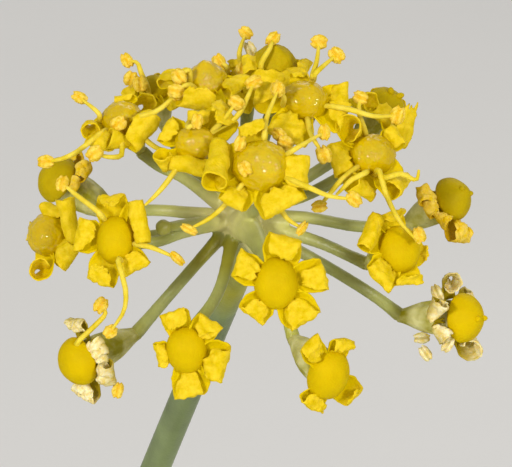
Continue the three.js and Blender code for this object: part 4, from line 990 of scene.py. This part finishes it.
def petal(bm, around, form, low, crumple, dome_radius, fineness, seed, material):
    """A petal from a square sheet: along its length a blade, a fold and a tip, each with its true length."""
    half, reach, curl, fold, twist, swing = (*form, 0, 0)[:6]
    sheet = bmesh.ops.create_grid(bm, x_segments=fineness[0], y_segments=fineness[1], size=1)["verts"]
    turned_in = bm.verts.layers.float["turned_in"]
    grow = random.Random(seed)
    shift = Vector((seed * 1.3 % 17, seed * 2.9 % 13, 0))
    start, middle, turn = 0.72 * dome_radius, reach - fold, math.radians(curl)
    tip = grow.uniform(0.5, 0.75) * (reach - dome_radius) if curl < 235 else fold * 0.6
    tip_width = grow.uniform(0.66, 0.95) if curl < 235 else 1
    sideways, skew = grow.uniform(-0.12, 0.12), grow.uniform(-0.14, 0.14)
    blade_length, fold_length = middle - start, fold * turn
    foot_height = BLADE_LOW - low
    middle_height = foot_height + BLADE_RISE + fold
    lay_out = Matrix.Translation((0, 0, middle_height)) @ Matrix.Rotation(around, 4, "Z")
    for vert in sheet:
        u, way = vert.co.x, (vert.co.y + 1) / 2 * (blade_length + fold_length + tip)
        on_blade = min(1, way / blade_length)
        on_fold = min(1, max(0, way - blade_length) / fold_length)
        on_tip = max(0, way - blade_length - fold_length) / tip
        if twist:
            away = (1 - u * math.copysign(1, twist)) / 2
            ring = fold * (1 - (1.15 - 0.8 * half) * away ** 1.3) * (1 - 0.03 * on_fold * turn)
        else:
            ring = fold * (1 - 0.2 * u * u) * (1 - 0.05 * on_fold * turn)
        angle = turn * on_fold - math.pi / 2
        ragged = tip * on_tip * (1 + 0.3 * on_tip * noise.noise(Vector((u * 2.5, seed * 0.37, 0))))
        out = blade_length * (on_blade - 1) + ring * math.cos(angle) - math.sin(angle) * ragged
        out += 0.02 * u ** 4 * math.sin(math.pi * on_fold) + skew * u * half * on_blade
        out -= 0.04 * math.exp(-(u / 0.25) ** 2) * on_fold
        narrow = (1 - (1 - tip_width) * on_fold) * (1 - 0.1 * on_tip - 0.4 * on_tip ** 4)
        side = u * half * (0.74 + 0.26 * min(1, 2 * on_blade)) * narrow + sideways * half * on_fold
        high = (BLADE_RISE + fold) * (on_blade - 1) + BLADE_RIM * (1 - on_blade) * abs(u) ** 2.5
        high += ring * (math.sin(angle) + 1 - on_blade) + math.cos(angle) * ragged
        swung = Matrix.Rotation(math.radians(swing) * on_blade, 3, "Z")
        twisted = Matrix.Rotation(math.radians(twist) * on_blade, 3, "X")
        spot = lay_out @ (swung @ twisted @ Vector((out, side, high)) + Vector((middle, 0, 0)))
        vert[turned_in] = turned = min(1, on_fold * 1.6)
        warp = wobble(spot, shift, 1.7, 9, 0) * (0.09 * on_blade)
        rumple = wobble(spot, shift, 4.6, 7, 3) * (0.02 + crumple * turned)
        vert.co = spot + warp + rumple + wobble(spot, shift, 11, 5, 6) * (0.004 + 0.008 * turned)
    faces = list({face for vert in sheet for face in vert.link_faces})
    edges = list({edge for face in faces for edge in face.edges})
    bmesh.ops.recalc_face_normals(bm, faces=faces)
    back = bmesh.ops.extrude_face_region(bm, geom=sheet + edges + faces, use_keep_orig=True)["geom"]
    back = [part for part in back if isinstance(part, bmesh.types.BMVert)]
    for vert in back:
        vert.normal_update()
    for vert in back:
        vert.co -= vert.normal * PETAL_THICK
    paint(sheet + back, material)


def ovary(bm, dome_radius):
    """The young fruit under the dome, with ten low ribs, which narrows down to the pedicel."""
    profile = [(0.02, -0.12), (0.62, -0.16), (0.68, -0.3), (0.71, -0.8), (0.69, -1.3), (0.61, -1.8),
               (0.49, -2.2), (0.37, -2.55), (0.3, -OVARY_LENGTH), (0.26, -OVARY_LENGTH - 0.25),
               (0.02, -OVARY_LENGTH - 0.3)]
    made = turn_profile(bm, [(radius * dome_radius, height * dome_radius) for radius, height in profile], 40)
    for vert in made:
        rib = 1 + 0.05 * math.cos(10 * math.atan2(vert.co.y, vert.co.x))
        vert.co.x, vert.co.y = vert.co.x * rib, vert.co.y * rib
    paint(made, OVARY)


def anther(bm, place, turn, size, roundness, seed, width, material):
    """Two knobbly pollen sacs side by side with a groove between them."""
    verts = bmesh.ops.create_icosphere(bm, subdivisions=roundness, radius=1)["verts"]
    turned_in = bm.verts.layers.float["turned_in"]
    shift = Vector((seed * 1.9, 0, seed * 0.7))
    for vert in verts:
        x, y, z = vert.co
        groove = math.exp(-(x / 0.22) ** 2)
        grain = 1 + 0.16 * noise.noise(vert.co * 2.2 + shift) + 0.07 * noise.noise(vert.co * 6 + shift)
        grain += 0.05 * noise.noise(vert.co * 12 + shift)
        spot = Vector((x * width, y * (1 - 0.2 * groove), z * 0.6 * (1 - 0.42 * groove)))
        vert.co = spot * (size * grain)
        vert[turned_in] = 1 - 0.55 * groove
    bmesh.ops.transform(bm, matrix=Matrix.Translation(place) @ turn, verts=verts)
    paint(verts, material)


def flower_frame(flower):
    """The place and turn of a flower, which looks along its own Z axis."""
    z = Vector(flower["faces"]).normalized()
    x = (Vector((1, 0.01, 0)) - z * z.x).normalized()
    y = z.cross(x).normalized()
    turn = Matrix((y.cross(z), y, z)).transposed()
    return Matrix.Translation(seen(flower["at"])) @ turn.to_4x4()


def direction_round(frame_turn, degrees):
    """The angle round a flower that shows in a given direction in the camera's view."""
    x, y = frame_turn.col[0].to_3d(), frame_turn.col[1].to_3d()
    shown = Vector((math.cos(math.radians(degrees)), math.sin(math.radians(degrees))))
    off_x = x.x * shown.y - x.y * shown.x
    off_y = y.x * shown.y - y.y * shown.x
    angle = math.atan2(-off_x, off_y)
    way = x * math.cos(angle) + y * math.sin(angle)
    return angle if way.x * shown.x + way.y * shown.y > 0 else angle + math.pi


def thread_line(flower, place, route):
    """A stamen's thread, from between the petals at the dome's edge through the places of its route."""
    first = place.inverted() @ seen(route[0])
    foot = Vector((first.x, first.y, 0)).normalized() * (0.9 * flower["dome"])
    points = [place @ foot, place @ (foot * 1.15 + Vector((0, 0, 0.28))), *map(seen, route)]
    if (points[2] - points[1]).length < 0.15:
        points.pop(1)
    curve = flowing(points)
    line = []
    for step in range(13):
        t = step / 12
        line.append((curve(t), FILAMENT_RADIUS * (0.85 + 0.35 * math.sin(math.pi * t) - 0.3 * t ** 3)))
    return line


def front_flower(index, flower):
    """Builds one flower of the table in its own frame, and its stamens where they are seen."""
    bm = bmesh.new()
    bm.verts.layers.float.new("turned_in")
    place = flower_frame(flower)
    radius, stamens = flower["dome"], flower.get("stamens", [])
    wet, old, fading = (flower.get(key, False) for key in ("wet", "old", "fading"))
    grow = random.Random(500 + index)
    dome(bm, radius, flower.get("tall", 1), flower.get("lean", 0), flower.get("peak", 0), cleft=0.02,
         bump=0.055 if wet else 0.012, roundness=6 if wet else 5, seed=index + 1)
    if flower.get("styles"):
        two_styles(bm, radius)
    # Ripe domes get the darker skin, which is partly painted shade.
    paint(bm.verts, RIPE_AND_SHADED_DOME if flower.get("ripe_and_shaded") else WET_DOME if wet else DOME)
    ovary(bm, radius)
    crumple = 0.13 if fading or old else 0.035 if wet else 0.055
    skin = WITHERED if old else FADING if fading else PETAL
    for k, (degrees, *form) in enumerate(flower["petals"]):
        around = direction_round(place, degrees)
        petal(bm, around, form, flower.get("low", 0), crumple, radius, (18, 30), 100 * index + k, skin)
    bmesh.ops.transform(bm, matrix=place, verts=bm.verts)
    lines = [thread_line(flower, place, route) for route in stamens + flower.get("bare", [])]
    if lines:
        add_rods(bm, lines, 3, FILAMENT)
    spots = [line[-1][0] for line in lines[:len(stamens)]] + [*map(seen, flower.get("loose", []))]
    for k, spot in enumerate(spots):
        turn = Matrix.Rotation(grow.uniform(0, math.pi), 4, "Z")
        turn = turn @ Matrix.Rotation(grow.uniform(-0.6, 0.6), 4, "X")
        width = 0.45 if k in flower.get("slim", ()) else grow.uniform(0.64, 0.8)
        length = ANTHER_LENGTH * grow.uniform(0.9, 1.1)
        anther(bm, spot, turn, length, 4, 10 * index + k, width, ANTHER)
    for k, spot in enumerate(flower.get("husks", [])):
        turn = Matrix.Rotation(0.5 - k, 4, "Z")
        anther(bm, seen(spot), turn, ANTHER_LENGTH, 4, 20 * index + k, 0.62, WITHERED)
    bmesh.ops.transform(bm, matrix=to_plant, verts=bm.verts)
    name = f"{index + 1:02d}"
    add_piece("flower_" + name, bm, flower_skins, "flower_yellow", "front_flower_" + name)


flower_skins = flower_materials()
for index, flower in enumerate(FRONT_FLOWERS):
    front_flower(index, flower)


# The other umbellets: some fifteen flowers each, on pedicels that leave the faces of a twenty-sided hub.
# They have the same parts as the front one, with fewer faces, because the camera never comes as near.
SMALL_DOME = 0.78
SMALL_STAMEN_REACH = 1.75
SMALL_PEDICEL_RADIUS = 0.28
SMALL_HUB_RADIUS = 0.95
LOWEST_FLOWER = -0.5
GOLDEN = (1 + math.sqrt(5)) / 2
CORNERS = [Vector(p) for p in (
    (-1, GOLDEN, 0), (1, GOLDEN, 0), (-1, -GOLDEN, 0), (1, -GOLDEN, 0), (0, -1, GOLDEN), (0, 1, GOLDEN),
    (0, -1, -GOLDEN), (0, 1, -GOLDEN), (GOLDEN, 0, -1), (GOLDEN, 0, 1), (-GOLDEN, 0, -1), (-GOLDEN, 0, 1),
)]
HUB_FACES = [
    (0, 11, 5), (0, 5, 1), (0, 1, 7), (0, 7, 10), (0, 10, 11), (1, 5, 9), (5, 11, 4), (11, 10, 2), (10, 7, 6),
    (7, 1, 8), (3, 9, 4), (3, 4, 2), (3, 2, 6), (3, 6, 8), (3, 8, 9), (4, 9, 5), (2, 4, 11), (6, 2, 10),
    (8, 6, 7), (9, 8, 1),
]


def small_flower():
    """One flower of the far umbellets, looking up from its ovary, as a mesh to copy."""
    bm = bmesh.new()
    bm.verts.layers.float.new("turned_in")
    dome(bm, SMALL_DOME, tall=1.15, lean=0, peak=0, cleft=0.1, bump=0.012, roundness=2, seed=3)
    for k in range(5):
        petal(bm, 2 * math.pi * k / 5, (0.6, 1.6, 195, 0.3), 0, 0.04, SMALL_DOME, (2, 6), 900 + k, PETAL)
    lines = []
    for k in range(5):
        way = heading(36 + 72 * k, 0)
        tip = way * SMALL_STAMEN_REACH + UP * 1.1
        lines.append([(way * 0.6, 0.1), (way * 1.1 + UP * 0.5, 0.1), (tip, 0.07)])
        anther(bm, tip, Matrix.Rotation(k, 4, "Z"), ANTHER_LENGTH, 1, k, 0.74, ANTHER)
    add_rods(bm, lines, 0, FILAMENT)
    add_rods(bm, [[(UP * -0.1, 0.6), (UP * -0.7, 0.45), (UP * -1.3, 0.28)]], 1, OVARY)
    bmesh.ops.recalc_face_normals(bm, faces=bm.faces)
    mesh = bpy.data.meshes.new("small_flower")
    bm.to_mesh(mesh)
    bm.free()
    return mesh


def umbellet(name, seed, curve, node):
    """The umbellet at the end of a ray: pedicels with a small flower each, round a hub."""
    numbers = draws(seed)
    spin = Matrix.Rotation(2 * math.pi * next(numbers), 3, "Z")
    bm = bmesh.new()
    lines = []
    for face in HUB_FACES:
        out = (spin @ (CORNERS[face[0]] + CORNERS[face[1]] + CORNERS[face[2]])).normalized()
        if out.y < LOWEST_FLOWER:
            continue
        lean = Vector((next(numbers) - 0.5, next(numbers) - 0.2, next(numbers) - 0.5)) * 0.3
        axis = (out + lean).normalized()
        axis = Vector((axis.x, -axis.z, axis.y))
        reach = UMBELLET_REACH * (0.88 + 0.2 * next(numbers))
        stalk = bend(axis * 0.4, axis * (0.5 * reach) - UP * 0.5, axis * (reach - 1.2))
        lines.append([(stalk(k / 4), SMALL_PEDICEL_RADIUS + 0.14 * (1 - k / 4) ** 4) for k in range(5)])
        old = len(bm.verts)
        bm.from_mesh(small_mesh)
        bm.verts.ensure_lookup_table()
        stand = Matrix.Translation(axis * reach) @ turn_to(axis) @ Matrix.Rotation(reach * 7, 4, "Z")
        bmesh.ops.transform(bm, matrix=stand, verts=bm.verts[old:])
    pedicels = len(flower_skins)
    add_rods(bm, lines, 1, pedicels)
    paint(bmesh.ops.create_icosphere(bm, subdivisions=3, radius=SMALL_HUB_RADIUS)["verts"], pedicels)
    place = Matrix.Translation(curve(1)) @ turn_to(way_of(curve, 1))
    bmesh.ops.transform(bm, matrix=place, verts=bm.verts)
    add_piece(name, bm, [*flower_skins, far_stalk_skin], "flower_yellow", node)


far_stalk_skin = surface("far_pedicel_skin", (0.36, 0.42, 0.17), (0.48, 0.54, 0.27), 2, 0.45, 0.3, 0.03,
                         Subsurface_Weight=0.15, Subsurface_Radius=(0.0004, 0.0005, 0.00015))
small_mesh = small_flower()
for i, ray in enumerate(TOP_RAYS):
    umbellet(f"umbellet_of_top_{i + 1}", 11 + i, ray_curve(top_umbel, ray), f"top_umbellet_{i + 1}")
for i, ray in enumerate(SIDE_RAYS):
    umbellet(f"umbellet_of_side_{i + 1}", 41 + i, ray_curve(side_umbel, ray), f"side_umbellet_{i + 1}")
bpy.data.meshes.remove(small_mesh)


# Studio: a wide pale floor under a pale sky, with a soft lamp on either side of the camera and one behind.
FLOOR_REACH = 40
floor_sheet = bmesh.new()
bmesh.ops.create_grid(floor_sheet, x_segments=1, y_segments=1, size=FLOOR_REACH)
floor = place_mesh("floor", floor_sheet)
paper = surface("floor_paper", (0.77, 0.765, 0.75), (0.80, 0.795, 0.78), 300, 0.9, 3, 0.05)
floor.data.materials.append(paper)

world = bpy.data.worlds.new("sky")
world.use_nodes = True
sky = world.node_tree.nodes["Background"]
sky.inputs["Color"].default_value = (1.0, 0.985, 0.96, 1)
sky.inputs["Strength"].default_value = 0.6
bpy.context.scene.world = world

# A lamp has its place in m, its width and its power in watts.
LAMPS = [
    ("left", (-0.37, -0.76, 0.68), 0.14, 5.0),
    ("right", (0.46, -0.76, 0.66), 0.14, 3.9),
    ("back", (0.35, 0.9, 1.0), 0.7, 2),
]
LAMP_COLOUR = (1.0, 0.98, 0.96)
aim = Vector((0.02, -0.03, 0.32))
for name, spot, width, watts in LAMPS:
    light = bpy.data.lights.new(name, "AREA")
    light.shape, light.size, light.energy, light.color = "DISK", width, watts, LAMP_COLOUR
    lamp = bpy.data.objects.new(name, light)
    bpy.context.scene.collection.objects.link(lamp)
    lamp.location = spot
    lamp.rotation_euler = (aim - Vector(spot)).to_track_quat("-Z", "Y").to_euler()
